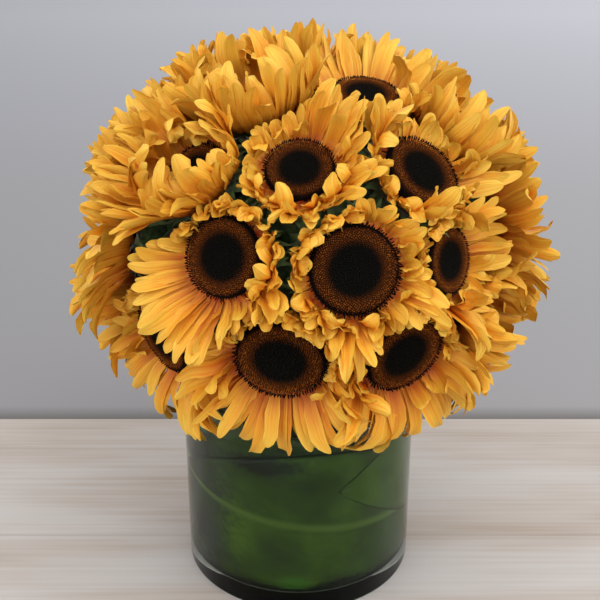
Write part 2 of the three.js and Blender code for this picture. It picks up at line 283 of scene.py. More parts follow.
@dataclass(frozen=True)
class GreenFinish:
    """Rough hairy green of bracts and stems: dull, with a dusty bloom and darker hollows.

    Attributes:
        dark: The green of the hollows.
        light: The green between them.
        roughness: How dull it is.
        mottle_mm: The size of the mottles.
    """

    dark: str
    light: str
    roughness: float = 0.62
    mottle_mm: float = 3.0

    def material(self, name: str) -> bpy.types.Material:
        """Builds the material.

        Args:
            name: What the real material is.

        Returns:
            The material.
        """
        material, tree = fresh_material(name)
        place = add(tree, "ShaderNodeTexCoord").outputs["Object"]
        mottle = add(
            tree,
            "ShaderNodeTexNoise",
            {"Vector": place, "Scale": 1 / (self.mottle_mm * MM), "Detail": 4.0, "Roughness": 0.6},
        )
        stops = [(0.3, self.dark), (0.7, self.light)]
        colour = add(tree, "ShaderNodeValToRGB", {"Fac": mottle.outputs["Fac"]}, stops=stops)
        bump = add(
            tree, "ShaderNodeBump", {"Height": mottle.outputs["Fac"], "Strength": 0.35, "Distance": 0.3 * MM}
        )
        shader = add(
            tree,
            "ShaderNodeBsdfPrincipled",
            {
                "Base Color": colour.outputs["Color"],
                "Normal": bump.outputs["Normal"],
                "Roughness": self.roughness,
                "Sheen Weight": 0.25,
                "Sheen Roughness": 0.5,
            },
        )
        add(tree, "ShaderNodeOutputMaterial", {"Surface": shader.outputs["BSDF"]})
        return material


@dataclass(frozen=True)
class Mark:
    """A soft-edged patch of another colour on a leaf, in millimetres.

    Attributes:
        centre: Its middle.
        reach: How far it reaches from there each way.
        colour: Its colour, as six hex digits.
        strength: How much it covers.
    """

    centre: tuple[float, float, float]
    reach: tuple[float, float, float]
    colour: str
    strength: float


@dataclass(frozen=True)
class LinerLeafFinish:
    """Waxy dark green leaf: half gloss, cloudy in depth of colour, with a soft pale midrib.

    Attributes:
        roughness: How dull it is.
        cloud_mm: The size of its lighter and darker clouds.
        streak_mm: The width of its streaks.
        marks: The patches where it is darker or lighter; the first three are painted shade, painted light and
            a painted shadow.
    """

    roughness: float = 0.4
    cloud_mm: float = 45.0
    streak_mm: float = 3.0
    marks: tuple[Mark, ...] = (
        # Painted shade over the leaves at the left, painted light over those at the right and a painted
        # shadow high at the front left, then a lighter patch and a near-black one low at the front.
        Mark((-64, -30, 62), (46, 46, 95), "131F08", 0.75),
        Mark((64, -32, 60), (30, 34, 62), "5C7C30", 0.4),
        Mark((-22, -65, 106), (33, 33, 10), "10150A", 0.9),
        Mark((-3, -69, 18), (14, 14, 9), "4F8C22", 0.8),
        Mark((28, -64, 14), (26, 26, 9), "0C0F08", 0.95),
    )

    def material(self) -> bpy.types.Material:
        """Builds the material.

        Returns:
            The material.
        """
        material, tree = fresh_material("Waxy liner leaf")
        vein, along, tone, depth = (
            add(tree, "ShaderNodeAttribute", attribute_name=name).outputs["Fac"]
            for name in ("vein", "along", "tone", "depth")
        )
        # Broad clouds of lighter and darker green, each leaf with its own.
        place = add(tree, "ShaderNodeTexCoord").outputs["Object"]
        clouds = add(
            tree,
            "ShaderNodeTexNoise",
            {"Vector": place, "W": tone, "Scale": 1 / (self.cloud_mm * MM), "Detail": 2.0, "Roughness": 0.45},
            noise_dimensions="4D",
        )
        # Fine streaks run with the side veins, about 50 mm of leaf to each unit of "vein".
        drawn = add(tree, "ShaderNodeMath", {0: along, 1: 1.6}, operation="MULTIPLY")
        lengthwise = add(tree, "ShaderNodeCombineXYZ", {"X": vein, "Y": drawn.outputs[0], "Z": tone})
        streaks = add(
            tree,
            "ShaderNodeTexNoise",
            {"Vector": lengthwise.outputs[0], "Scale": 50 / self.streak_mm, "Detail": 1.0, "Roughness": 0.5},
        )
        cloudy = add(tree, "ShaderNodeMath", {0: clouds.outputs["Fac"], 1: depth}, operation="ADD")
        terms = {0: streaks.outputs["Fac"], 1: 0.12, 2: cloudy.outputs[0]}
        mixed = add(tree, "ShaderNodeMath", terms, operation="MULTIPLY_ADD")
        stops = [(0.36, "2B3E0B"), (0.54, "446212"), (0.74, "678C22")]
        colour = add(tree, "ShaderNodeValToRGB", {"Fac": mixed.outputs[0]}, stops=stops).outputs["Color"]
        away = add(tree, "ShaderNodeMath", {0: vein}, operation="ABSOLUTE").outputs[0]
        colour = self.laid(tree, colour, "12180A", 0.85, away, (0.985, 0.95))
        # The marks lay painted shade, painted light and a painted shadow, then a lighter and a near-black
        # patch.
        for mark in self.marks:
            centre, reach = ([part * MM for part in sizes] for sizes in (mark.centre, mark.reach))
            offset = add(tree, "ShaderNodeVectorMath", {0: place, 1: centre}, operation="SUBTRACT")
            scaled = add(tree, "ShaderNodeVectorMath", {0: offset.outputs[0], 1: reach}, operation="DIVIDE")
            far = add(tree, "ShaderNodeVectorMath", {0: scaled.outputs[0]}, operation="LENGTH")
            terms = {0: streaks.outputs["Fac"], 1: 0.5, 2: far.outputs["Value"]}
            uneven = add(tree, "ShaderNodeMath", terms, operation="MULTIPLY_ADD")
            colour = self.laid(tree, colour, mark.colour, mark.strength, uneven.outputs[0], (0.6, 1.25))
        # The midrib shows on the front leaf, and hardly on one that stands out over it.
        hidden = add(tree, "ShaderNodeMath", {0: depth, 1: 1.2, 2: away}, operation="MULTIPLY_ADD").outputs[0]
        colour = self.laid(tree, colour, "8DAE48", 0.5, hidden, (0.0, 0.09))
        bump = add(
            tree, "ShaderNodeBump", {"Height": streaks.outputs["Fac"], "Strength": 0.2, "Distance": 0.3 * MM}
        )
        shader = add(
            tree,
            "ShaderNodeBsdfPrincipled",
            {
                "Base Color": colour,
                "Normal": bump.outputs["Normal"],
                "Roughness": self.roughness,
                "Specular IOR Level": 0.3,
            },
        )
        add(tree, "ShaderNodeOutputMaterial", {"Surface": shader.outputs["BSDF"]})
        return material

    def laid(
        self,
        tree: bpy.types.NodeTree,
        ground: bpy.types.NodeSocket,
        code: str,
        strength: float,
        value: bpy.types.NodeSocket,
        span: tuple[float, float],
    ) -> bpy.types.NodeSocket:
        """Lays a colour over another, fading out as a value goes from one number to another.

        Args:
            tree: The material's tree.
            ground: The colour below.
            code: The upper one, as six hex digits.
            strength: How much the upper one covers where it isn't faded.
            value: What the fade follows.
            span: The value at which the fade starts and the one at which nothing is left.

        Returns:
            Both colours together.
        """
        fade = add(
            tree,
            "ShaderNodeMapRange",
            {"Value": value, "From Min": span[0], "From Max": span[1], "To Min": strength, "To Max": 0.0},
            interpolation_type="SMOOTHSTEP",
        )
        both = {0: fade.outputs["Result"], 6: ground, 7: linear(code)}
        return add(tree, "ShaderNodeMix", both, data_type="RGBA").outputs[2]


@dataclass(frozen=True)
class ClearFinish:
    """A clear body, such as blown soda glass or water: sharp gloss, with a hint of green in depth.

    Attributes:
        name: What the real material is.
        tint: Its colour, as six hex digits.
        index: How strongly it bends light.
        roughness: How dull it is.
        ripple_mm: The size of its slow unevenness.
        glare: The colour of what it reflects, as six hex digits.
    """

    name: str
    tint: str
    index: float
    roughness: float
    ripple_mm: float
    glare: str = "5C6A5F"

    def material(self) -> bpy.types.Material:
        """Builds the material.

        Returns:
            The material.
        """
        material, tree = fresh_material(self.name)
        place = add(tree, "ShaderNodeTexCoord").outputs["Object"]
        # The slow unevenness of a blown wall, or of a still surface.
        ripple = add(
            tree, "ShaderNodeTexNoise", {"Vector": place, "Scale": 1 / (self.ripple_mm * MM), "Detail": 1.0}
        )
        bump = add(
            tree, "ShaderNodeBump", {"Height": ripple.outputs["Fac"], "Strength": 0.12, "Distance": 0.5 * MM}
        )
        shader = add(
            tree,
            "ShaderNodeBsdfPrincipled",
            {
                "Base Color": linear(self.tint),
                "Normal": bump.outputs["Normal"],
                "Roughness": self.roughness,
                "IOR": self.index,
                "Transmission Weight": 1.0,
                "Specular Tint": linear(self.glare),
            },
        )
        add(tree, "ShaderNodeOutputMaterial", {"Surface": shader.outputs["BSDF"]})
        return material


def geometry_tree(
    name: str, sizes: dict[str, float | int], carried: dict[str, str]
) -> tuple[bpy.types.NodeTree, bpy.types.Node, dict[str, bpy.types.NodeSocket]]:
    """Starts a geometry tree with one input for each of its sizes.

    Args:
        name: What the tree makes.
        sizes: Each input's name and its value at first.
        carried: The name and the type of each attribute of a mesh that it reads.

    Returns:
        The tree, its input node and the value of each attribute.
    """
    tree = bpy.data.node_groups.new(name, "GeometryNodeTree")
    tree.interface.new_socket("Geometry", in_out="INPUT", socket_type="NodeSocketGeometry")
    for label, value in sizes.items():
        kind = "NodeSocketInt" if isinstance(value, int) else "NodeSocketFloat"
        tree.interface.new_socket(label, in_out="INPUT", socket_type=kind).default_value = value
    tree.interface.new_socket("Material", in_out="INPUT", socket_type="NodeSocketMaterial")
    tree.interface.new_socket("Geometry", in_out="OUTPUT", socket_type="NodeSocketGeometry")
    values = {}
    for label, kind in carried.items():
        reader = add(tree, "GeometryNodeInputNamedAttribute", {"Name": label}, data_type=kind)
        values[label] = reader.outputs["Attribute"]
    return tree, add(tree, "NodeGroupInput"), values


def close_tree(tree: bpy.types.NodeTree, source: bpy.types.Node, shape: bpy.types.NodeSocket) -> None:
    """Ends a tree: instances made real and given the material.

    Args:
        tree: The tree.
        source: Its input node.
        shape: The geometry so far.
    """
    real = add(tree, "GeometryNodeRealizeInstances", {"Geometry": shape})
    painted = add(
        tree, "GeometryNodeSetMaterial", {"Geometry": real.outputs[0], "Material": source.outputs["Material"]}
    )
    add(tree, "NodeGroupOutput", {"Geometry": painted.outputs[0]})


def blade_tree() -> bpy.types.NodeTree:
    """Sweeps a thin pleated blade along every line of a mesh.

    The lines carry what changes along a blade: "up", the way its face looks, "half", half its
    width, "cup", how far its sides curl up, and "ruffle", how far they wave. The profile carries
    "across", from -1 to 1.

    Returns:
        The tree.
    """
    kinds = dict.fromkeys(("half", "cup", "ruffle", "along", "tone", "across"), "FLOAT")
    kinds["up"] = "FLOAT_VECTOR"
    tree, source, carried = geometry_tree("Blades", {"Thickness": 0.05, "Pleat": 0.06}, kinds)
    size = source.outputs
    lines = add(tree, "GeometryNodeMeshToCurve", {"Mesh": size["Geometry"]})
    ways = {"Curve": lines.outputs[0], "Normal": carried["up"]}
    facing = add(tree, "GeometryNodeSetCurveNormal", ways, mode="FREE")
    # The profile is a ring of eight points, drawn out to a flat lens with two pleats.
    ring = add(tree, "GeometryNodeCurvePrimitiveCircle", {"Resolution": 8, "Radius": 1.0})
    spot = add(tree, "ShaderNodeSeparateXYZ", {0: add(tree, "GeometryNodeInputPosition").outputs[0]})
    angle = add(tree, "ShaderNodeMath", {0: spot.outputs["X"]}, operation="ARCCOSINE", use_clamp=False)
    terms = {0: angle.outputs[0], 1: -2 / math.pi, 2: 1.0}
    across = add(tree, "ShaderNodeMath", terms, operation="MULTIPLY_ADD")
    marked = add(
        tree,
        "GeometryNodeStoreNamedAttribute",
        {"Geometry": ring.outputs[0], "Name": "across", "Value": across.outputs[0]},
        data_type="FLOAT",
        domain="POINT",
    )
    value = carried["across"]
    double = add(tree, "ShaderNodeMath", {0: value, 1: 2 * math.pi}, operation="MULTIPLY")
    wave = add(tree, "ShaderNodeMath", {0: double.outputs[0]}, operation="COSINE")
    square = add(tree, "ShaderNodeMath", {0: value, 1: value}, operation="MULTIPLY")
    fade = add(tree, "ShaderNodeMath", {0: square.outputs[0], 1: 1.0}, operation="SUBTRACT")
    pleat = add(tree, "ShaderNodeMath", {0: wave.outputs[0], 1: fade.outputs[0]}, operation="MULTIPLY")
    folded = add(tree, "ShaderNodeMath", {0: pleat.outputs[0], 1: size["Pleat"]}, operation="MULTIPLY")
    terms = {0: spot.outputs["Y"], 1: size["Thickness"], 2: folded.outputs[0]}
    height = add(tree, "ShaderNodeMath", terms, operation="MULTIPLY_ADD")
    flat = add(tree, "ShaderNodeCombineXYZ", {"X": height.outputs[0], "Y": value})
    profile = add(
        tree, "GeometryNodeSetPosition", {"Geometry": marked.outputs[0], "Position": flat.outputs[0]}
    )
    swept = add(
        tree,
        "GeometryNodeCurveToMesh",
        {
            "Curve": facing.outputs[0],
            "Profile Curve": profile.outputs[0],
            "Scale": carried["half"],
            "Fill Caps": True,
        },
    )
    # The sides curl up or down, and their rims are a little ruffled.
    cupped = add(tree, "ShaderNodeMath", {0: square.outputs[0], 1: carried["cup"]}, operation="MULTIPLY")
    phase = add(tree, "ShaderNodeMath", {0: carried["tone"], 1: 40.0, 2: value}, operation="MULTIPLY_ADD")
    terms = {0: carried["along"], 1: 17.0, 2: phase.outputs[0]}
    turns = add(tree, "ShaderNodeMath", terms, operation="MULTIPLY_ADD")
    swing = add(tree, "ShaderNodeMath", {0: turns.outputs[0]}, operation="SINE")
    ripple = add(tree, "ShaderNodeMath", {0: swing.outputs[0], 1: carried["ruffle"]}, operation="MULTIPLY")
    terms = {0: ripple.outputs[0], 1: square.outputs[0], 2: cupped.outputs[0]}
    lift = add(tree, "ShaderNodeMath", terms, operation="MULTIPLY_ADD")
    amount = add(tree, "ShaderNodeMath", {0: lift.outputs[0], 1: carried["half"]}, operation="MULTIPLY")
    terms = {0: carried["up"], "Scale": amount.outputs[0]}
    offset = add(tree, "ShaderNodeVectorMath", terms, operation="SCALE")
    curled = add(tree, "GeometryNodeSetPosition", {"Geometry": swept.outputs[0], "Offset": offset.outputs[0]})
    smooth = add(tree, "GeometryNodeSetShadeSmooth", {"Geometry": curled.outputs[0], "Shade Smooth": True})
    away = add(tree, "ShaderNodeMath", {0: value}, operation="ABSOLUTE")
    edge = add(tree, "FunctionNodeCompare", {0: away.outputs[0], 1: 0.98}, operation="GREATER_THAN")
    crisp = add(
        tree,
        "GeometryNodeSetShadeSmooth",
        {"Geometry": smooth.outputs[0], "Selection": edge.outputs[0], "Shade Smooth": False},
        domain="EDGE",
    )
    close_tree(tree, source, crisp.outputs[0])
    return tree


def stem_tree() -> bpy.types.NodeTree:
    """Sweeps a ridged stem along every line of a mesh and sets short hairs on it.

    Returns:
        The tree.
    """
    tree, source, carried = geometry_tree(
        "Stems",
        {
            "Ridges": 0.05,
            "Hair Density": 0.02 / MM**2,
            "Hair Length": 1.6 * MM,
            "Hair Radius": 0.12 * MM,
            "Seed": 7,
        },
        {"half": "FLOAT"},
    )
    size = source.outputs
    lines = add(tree, "GeometryNodeMeshToCurve", {"Mesh": size["Geometry"]})
    ring = add(tree, "GeometryNodeCurvePrimitiveCircle", {"Resolution": 12, "Radius": 1.0})
    index = add(tree, "GeometryNodeInputIndex")
    parity = add(tree, "ShaderNodeMath", {0: index.outputs[0], 1: 2.0}, operation="MODULO")
    terms = {0: parity.outputs[0], 1: size["Ridges"], 2: 1.0}
    swell = add(tree, "ShaderNodeMath", terms, operation="MULTIPLY_ADD")
    terms = {0: add(tree, "GeometryNodeInputPosition").outputs[0], "Scale": swell.outputs[0]}
    ridged = add(tree, "ShaderNodeVectorMath", terms, operation="SCALE")
    profile = add(
        tree, "GeometryNodeSetPosition", {"Geometry": ring.outputs[0], "Position": ridged.outputs[0]}
    )
    swept = add(
        tree,
        "GeometryNodeCurveToMesh",
        {
            "Curve": lines.outputs[0],
            "Profile Curve": profile.outputs[0],
            "Scale": carried["half"],
            "Fill Caps": True,
        },
    )
    smooth = add(tree, "GeometryNodeSetShadeSmooth", {"Geometry": swept.outputs[0], "Shade Smooth": True})
    roots = add(
        tree,
        "GeometryNodeDistributePointsOnFaces",
        {"Mesh": swept.outputs[0], "Density": size["Hair Density"], "Seed": size["Seed"]},
        distribute_method="RANDOM",
    )
    hair = add(
        tree,
        "GeometryNodeMeshCone",
        {
            "Vertices": 3,
            "Radius Top": 0.0,
            "Radius Bottom": size["Hair Radius"],
            "Depth": size["Hair Length"],
        },
    )
    hairs = add(
        tree,
        "GeometryNodeInstanceOnPoints",
        {
            "Points": roots.outputs["Points"],
            "Instance": hair.outputs["Mesh"],
            "Rotation": roots.outputs["Rotation"],
            "Scale": add(
                tree, "FunctionNodeRandomValue", {2: 0.6, 3: 1.3, "Seed": size["Seed"]}, data_type="FLOAT"
            ).outputs[1],
        },
    )
    both = add(tree, "GeometryNodeJoinGeometry")
    for part in (hairs.outputs[0], smooth.outputs[0]):
        tree.links.new(part, both.inputs[0])
    close_tree(tree, source, both.outputs[0])
    return tree


def floret_tree() -> bpy.types.NodeTree:
    """Packs florets on a disc in the spirals of a real one.

    Returns:
        The tree.
    """
    tree, source, carried = geometry_tree(
        "Florets",
        {
            "Count": 1400,
            "Radius": 23.1 * MM,
            "Crown": 2.2 * MM,
            "Floret": 0.58 * MM,
            "Height": 1.1 * MM,
            "Stray": 0.16 * MM,
            "Seed": 3,
        },
        {"ring": "FLOAT"},
    )
    size = source.outputs
    index = add(tree, "GeometryNodeInputIndex").outputs[0]
    half = add(tree, "ShaderNodeMath", {0: index, 1: 0.5}, operation="ADD")
    part = add(tree, "ShaderNodeMath", {0: half.outputs[0], 1: size["Count"]}, operation="DIVIDE")
    share = add(tree, "ShaderNodeMath", {0: part.outputs[0]}, operation="SQRT").outputs[0]
    angle = add(tree, "ShaderNodeMath", {0: index, 1: GOLDEN_ANGLE}, operation="MULTIPLY").outputs[0]
    radius = add(tree, "ShaderNodeMath", {0: share, 1: size["Radius"]}, operation="MULTIPLY").outputs[0]
    cos = add(tree, "ShaderNodeMath", {0: angle}, operation="COSINE").outputs[0]
    sin = add(tree, "ShaderNodeMath", {0: angle}, operation="SINE").outputs[0]
    # The disc is a low ring with a hollow middle and a rim that falls away.
    rise = add(tree, "ShaderNodeFloatCurve", {"Value": share})
    for place, value in ((0.45, 0.66), (0.8, 0.85)):
        rise.mapping.curves[0].points.new(place, value)
    rise.mapping.curves[0].points[0].location = (0.0, 0.4)
    rise.mapping.curves[0].points[3].location = (1.0, 0.0)
    rise.mapping.update()
    level = add(tree, "ShaderNodeMath", {0: rise.outputs[0], 1: size["Crown"]}, operation="MULTIPLY")
    spot = add(
        tree,
        "ShaderNodeCombineXYZ",
        {
            "X": add(tree, "ShaderNodeMath", {0: radius, 1: cos}, operation="MULTIPLY").outputs[0],
            "Y": add(tree, "ShaderNodeMath", {0: radius, 1: sin}, operation="MULTIPLY").outputs[0],
            "Z": level.outputs[0],
        },
    )
    back = add(tree, "ShaderNodeMath", {0: size["Stray"], 1: -1.0}, operation="MULTIPLY").outputs[0]
    low = add(tree, "ShaderNodeCombineXYZ", {"X": back, "Y": back})
    high = add(tree, "ShaderNodeCombineXYZ", {"X": size["Stray"], "Y": size["Stray"]})
    bounds = {0: low.outputs[0], 1: high.outputs[0], "Seed": size["Seed"]}
    stray = add(tree, "FunctionNodeRandomValue", bounds, data_type="FLOAT_VECTOR")
    strewn = add(tree, "ShaderNodeVectorMath", {0: spot.outputs[0], 1: stray.outputs[0]}, operation="ADD")
    points = add(tree, "GeometryNodePoints", {"Count": size["Count"], "Position": strewn.outputs[0]})
    chance = add(tree, "FunctionNodeRandomValue", {2: 0.15, 3: 1.0, "Seed": size["Seed"]}, data_type="FLOAT")
    for name, value in (("ring", share), ("tone", chance.outputs[1])):
        points = add(
            tree,
            "GeometryNodeStoreNamedAttribute",
            {"Geometry": points.outputs[0], "Name": name, "Value": value},
            data_type="FLOAT",
            domain="POINT",
        )
    tip = add(tree, "ShaderNodeMath", {0: size["Floret"], 1: 0.5}, operation="MULTIPLY")
    floret = add(
        tree,
        "GeometryNodeMeshCone",
        {
            "Vertices": 3,
            "Radius Top": tip.outputs[0],
            "Radius Bottom": size["Floret"],
            "Depth": size["Height"],
        },
    )
    corner = add(tree, "GeometryNodeInputPosition")
    up = add(tree, "ShaderNodeSeparateXYZ", {0: corner.outputs[0]}).outputs["Z"]
    shaded = add(
        tree,
        "GeometryNodeStoreNamedAttribute",
        {
            "Geometry": floret.outputs["Mesh"],
            "Name": "rise",
            "Value": add(tree, "ShaderNodeMath", {0: up, 1: size["Height"]}, operation="DIVIDE").outputs[0],
        },
        data_type="FLOAT",
        domain="POINT",
    )
    place = add(tree, "GeometryNodeInputPosition").outputs[0]
    # Florets stand up on the disc, and the chaff at its rim leans out over the petals' roots. Each
    # points away from a place far below the disc, which for the chaff is close below, in metres.
    ring = carried["ring"]
    upright = add(
        tree,
        "ShaderNodeMapRange",
        {"Value": ring, "From Min": 0.88, "From Max": 0.985, "To Min": 0.09, "To Max": 0.012},
    )
    wild = add(
        tree,
        "FunctionNodeRandomValue",
        {0: (-0.009, -0.009, -0.004), 1: (0.009, 0.009, 0.006), "Seed": size["Seed"]},
        data_type="FLOAT_VECTOR",
    )
    rising = add(tree, "ShaderNodeCombineXYZ", {"Z": upright.outputs[0]})
    loose = add(tree, "ShaderNodeVectorMath", {0: wild.outputs[0], 1: rising.outputs[0]}, operation="ADD")
    leaning = add(tree, "ShaderNodeVectorMath", {0: loose.outputs[0], 1: place}, operation="ADD")
    aim = add(tree, "FunctionNodeAlignRotationToVector", {"Vector": leaning.outputs[0]}, axis="Z")
    tall = add(
        tree,
        "ShaderNodeMapRange",
        {"Value": ring, "From Min": 0.9, "From Max": 0.98, "To Min": 0.9, "To Max": 1.5},
    )
    chosen = add(tree, "FunctionNodeRandomValue", {2: 0.7, 3: 1.25, "Seed": size["Seed"]}, data_type="FLOAT")
    long = add(tree, "ShaderNodeMath", {0: tall.outputs[0], 1: chosen.outputs[1]}, operation="MULTIPLY")
    scale = add(tree, "ShaderNodeCombineXYZ", {"X": 1.0, "Y": 1.0, "Z": long.outputs[0]})
    packed = add(
        tree,
        "GeometryNodeInstanceOnPoints",
        {
            "Points": points.outputs[0],
            "Instance": shaded.outputs[0],
            "Rotation": aim.outputs[0],
            "Scale": scale.outputs[0],
        },
    )
    both = add(tree, "GeometryNodeJoinGeometry")
    for shape in (packed.outputs[0], size["Geometry"]):
        tree.links.new(shape, both.inputs[0])
    close_tree(tree, source, both.outputs[0])
    return tree


def place_mesh(
    name: str, points: np.ndarray, faces: Sequence[Sequence[int]], edges: Sequence = ()
) -> bpy.types.Object:
    """Puts a mesh in the scene.

    Args:
        name: The object's name.
        points: Its corners, in millimetres.
        faces: The corners of each face, anticlockwise as seen from outside.
        edges: Loose edges.

    Returns:
        The object.
    """
    mesh = bpy.data.meshes.new(name)
    mesh.from_pydata((np.asarray(points) * MM).tolist(), list(edges), [list(face) for face in faces])
    made = bpy.data.objects.new(name, mesh)
    bpy.context.scene.collection.objects.link(made)
    return made


def solid(
    name: str, points: np.ndarray, faces: Sequence[Sequence[int]], material: bpy.types.Material
) -> bpy.types.Object:
    """Puts a smooth body in the scene.

    Args:
        name: The object's name.
        points: Its corners, in millimetres.
        faces: The corners of each face, anticlockwise as seen from outside.
        material: Its finish.

    Returns:
        The object.
    """
    made = place_mesh(name, points, faces)
    made.data.materials.append(material)
    made.data.shade_smooth()
    return made


def store(made: bpy.types.Object, name: str, values: np.ndarray, kind: str = "FLOAT") -> None:
    """Keeps a value for each corner of an object's mesh.

    Args:
        made: The object.
        name: The attribute's name.
        values: One number, or one vector, for each corner.
        kind: FLOAT, or FLOAT_VECTOR.
    """
    kept = made.data.attributes.new(name, kind, "POINT")
    kept.data.foreach_set("value" if kind == "FLOAT" else "vector", np.asarray(values, np.float32).ravel())


def grow(
    made: bpy.types.Object, tree: bpy.types.NodeTree, material: bpy.types.Material, **sizes: float
) -> None:
    """Runs a geometry tree on an object and keeps its result as the object's plain mesh.

    Args:
        made: The object.
        tree: The geometry tree.
        material: What the tree sets.
        **sizes: The tree's inputs, with _ for each space in a name.
    """
    modifier = made.modifiers.new("Grow", "NODES")
    modifier.node_group = tree
    wanted = {label.replace("_", " "): value for label, value in sizes.items()} | {"Material": material}
    for item in tree.interface.items_tree:
        if item.in_out == "INPUT" and item.name in wanted:
            modifier[item.identifier] = wanted[item.name]
    seen = made.evaluated_get(bpy.context.evaluated_depsgraph_get())
    mesh = bpy.data.meshes.new_from_object(seen)
    made.modifiers.clear()
    made.data = mesh


def hand_over(made: bpy.types.Object, slot: Slot, *nodes: str) -> None:
    """Gives a finished piece to the frame and reports it.

    Args:
        made: The piece.
        slot: The material slot that it stands for; not used.
        *nodes: The CAD nodes that it stands for.
    """
    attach(made, "root")
    if nodes:
        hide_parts(*nodes)
    made.data.calc_loop_triangles()
    log.info(
        "%s: %d triangles for %s", made.name, len(made.data.loop_triangles), ", ".join(nodes) or "itself"
    )


def braced(
    profile: Sequence[tuple[float, float]], least: float = 4.0, step: float = 0.4
) -> list[tuple[float, float]]:
    """Adds a point close to each end of a profile's long straights, which so are shaded straight.

    Args:
        profile: The profile's points.
        least: The length from which a straight is a long one.
        step: How far the points stand from the ends.

    Returns:
        All points.
    """
    points = [profile[0]]
    for start, end in zip(profile, profile[1:]):
        length = math.dist(start, end)
        if length > least:
            for share in (step / length, 1 - step / length):
                points.append(tuple(a + (b - a) * share for a, b in zip(start, end)))
        points.append(end)
    return points


def lathe(profile: Sequence[tuple[float, float]], segments: int) -> tuple[np.ndarray, list[list[int]]]:
    """Turns a profile about the Z axis.

    Args:
        profile: Radius and height, from the axis below, round the outside, to the axis above.
        segments: The number of sides.

    Returns:
        The corners and the faces of a closed body.
    """
    turns = np.arange(segments) * 2 * math.pi / segments
    rings = [
        np.column_stack([r * np.cos(turns), r * np.sin(turns), np.full(segments, z)])
        for r, z in profile[1:-1]
    ]
    points = np.vstack([[[0, 0, profile[0][1]]], *rings, [[0, 0, profile[-1][1]]]])
    faces = []
    last = len(points) - 1
    for k in range(segments):
        after = (k + 1) % segments
        faces.append([0, 1 + after, 1 + k])
        for ring in range(len(rings) - 1):
            low, high = 1 + ring * segments, 1 + (ring + 1) * segments
            faces.append([low + k, low + after, high + after, high + k])
        top = 1 + (len(rings) - 1) * segments
        faces.append([last, top + k, top + after])
    return points, faces


def smooth_line(points: Sequence, shares: np.ndarray) -> np.ndarray:
    """Follows a smooth curve through some points.

    Args:
        points: The points that the curve goes through.
        shares: Where it is read, as shares of its length.

    Returns:
        A point for each share.
    """
    through = np.asarray(points, float)
    guide = np.vstack([2 * through[0] - through[1], through, 2 * through[-1] - through[-2]])
    fine = np.linspace(0, 1, 12, endpoint=False)[:, None]
    pieces = []
    for a, b, c, d in zip(guide, guide[1:], guide[2:], guide[3:]):
        i, j, k = (max(math.sqrt(np.linalg.norm(q - p)), 1e-4) for p, q in ((a, b), (b, c), (c, d)))
        leave = ((b - a) / i - (c - a) / (i + j) + (c - b) / j) * j
        arrive = ((c - b) / j - (d - b) / (j + k) + (d - c) / k) * j
        square, cube = fine**2, fine**3
        pieces.append(
            (2 * cube - 3 * square + 1) * b
            + (cube - 2 * square + fine) * leave
            + (3 * square - 2 * cube) * c
            + (cube - square) * arrive
        )
    dense = np.vstack([*pieces, through[-1:]])
    steps = np.linalg.norm(np.diff(dense, axis=0), axis=1)
    lengths = np.concatenate([[0], np.cumsum(steps)])
    return np.column_stack([np.interp(shares * lengths[-1], lengths, column) for column in dense.T])


def node_triangles(name: str) -> np.ndarray:
    """The triangles of a CAD node.

    Args:
        name: The node's name.

    Returns:
        Three corners for each triangle, in millimetres.
    """
    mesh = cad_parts[name].data
    mesh.calc_loop_triangles()
    corners = np.empty(len(mesh.vertices) * 3)
    mesh.vertices.foreach_get("co", corners)
    picks = np.empty(len(mesh.loop_triangles) * 3, int)
    mesh.loop_triangles.foreach_get("vertices", picks)
    return corners.reshape(-1, 3)[picks].reshape(-1, 3, 3) / MM


class Guides:
    """The lines that blades or stems are swept along, gathered as one mesh of edges."""

    def __init__(self) -> None:
        """Starts with no lines."""
        self.points: list[np.ndarray] = []
        self.edges: list[tuple[int, int]] = []
        self.values: dict[str, list[np.ndarray]] = {}

    def line(self, points: np.ndarray, **values: float | np.ndarray) -> None:
        """Adds a line.

        Args:
            points: Its points, in millimetres.
            **values: What it carries: for each name a number, or one for each point.
        """
        start = sum(len(part) for part in self.points)
        self.points.append(points)
        self.edges += [(start + i, start + i + 1) for i in range(len(points) - 1)]
        for name, value in values.items():
            each = np.asarray(value, float)
            kept = self.values.setdefault(name, [])
            kept.append(each if each.ndim else np.full(len(points), float(each)))

    def place(self, name: str) -> bpy.types.Object:
        """Puts the lines in the scene as one mesh.

        Args:
            name: The object's name.

        Returns:
            The object.
        """
        made = place_mesh(name, np.vstack(self.points), [], self.edges)
        for label, parts in self.values.items():
            whole = np.concatenate(parts)
            store(made, label, whole, "FLOAT" if whole.ndim == 1 else "FLOAT_VECTOR")
        return made


def swung(line: np.ndarray, direction: float) -> tuple[np.ndarray, np.ndarray]:
    """Turns a line that runs out along X about the Z axis.

    Args:
        line: Its points.
        direction: The angle, in radians.

    Returns:
        The turned points, and the way to their side.
    """
    cos, sin = math.cos(direction), math.sin(direction)
    return line @ np.array([(cos, sin, 0), (-sin, cos, 0), (0, 0, 1)]), np.array([-sin, cos, 0])


def face_up(points: np.ndarray, side: np.ndarray, twists: np.ndarray) -> np.ndarray:
    """The way a blade's face looks at each point of its line.

    Args:
        points: The line.
        side: The blade's side direction before it is twisted.
        twists: How far it is twisted about its line at each point, in radians.

    Returns:
        A unit vector for each point.
    """
    along = np.gradient(points, axis=0)
    along /= np.linalg.norm(along, axis=1, keepdims=True)
    sides = side - along * (along @ side)[:, None]
    sides /= np.linalg.norm(sides, axis=1, keepdims=True)
    up = np.cross(along, sides)
    return up * np.cos(twists)[:, None] + sides * np.sin(twists)[:, None]


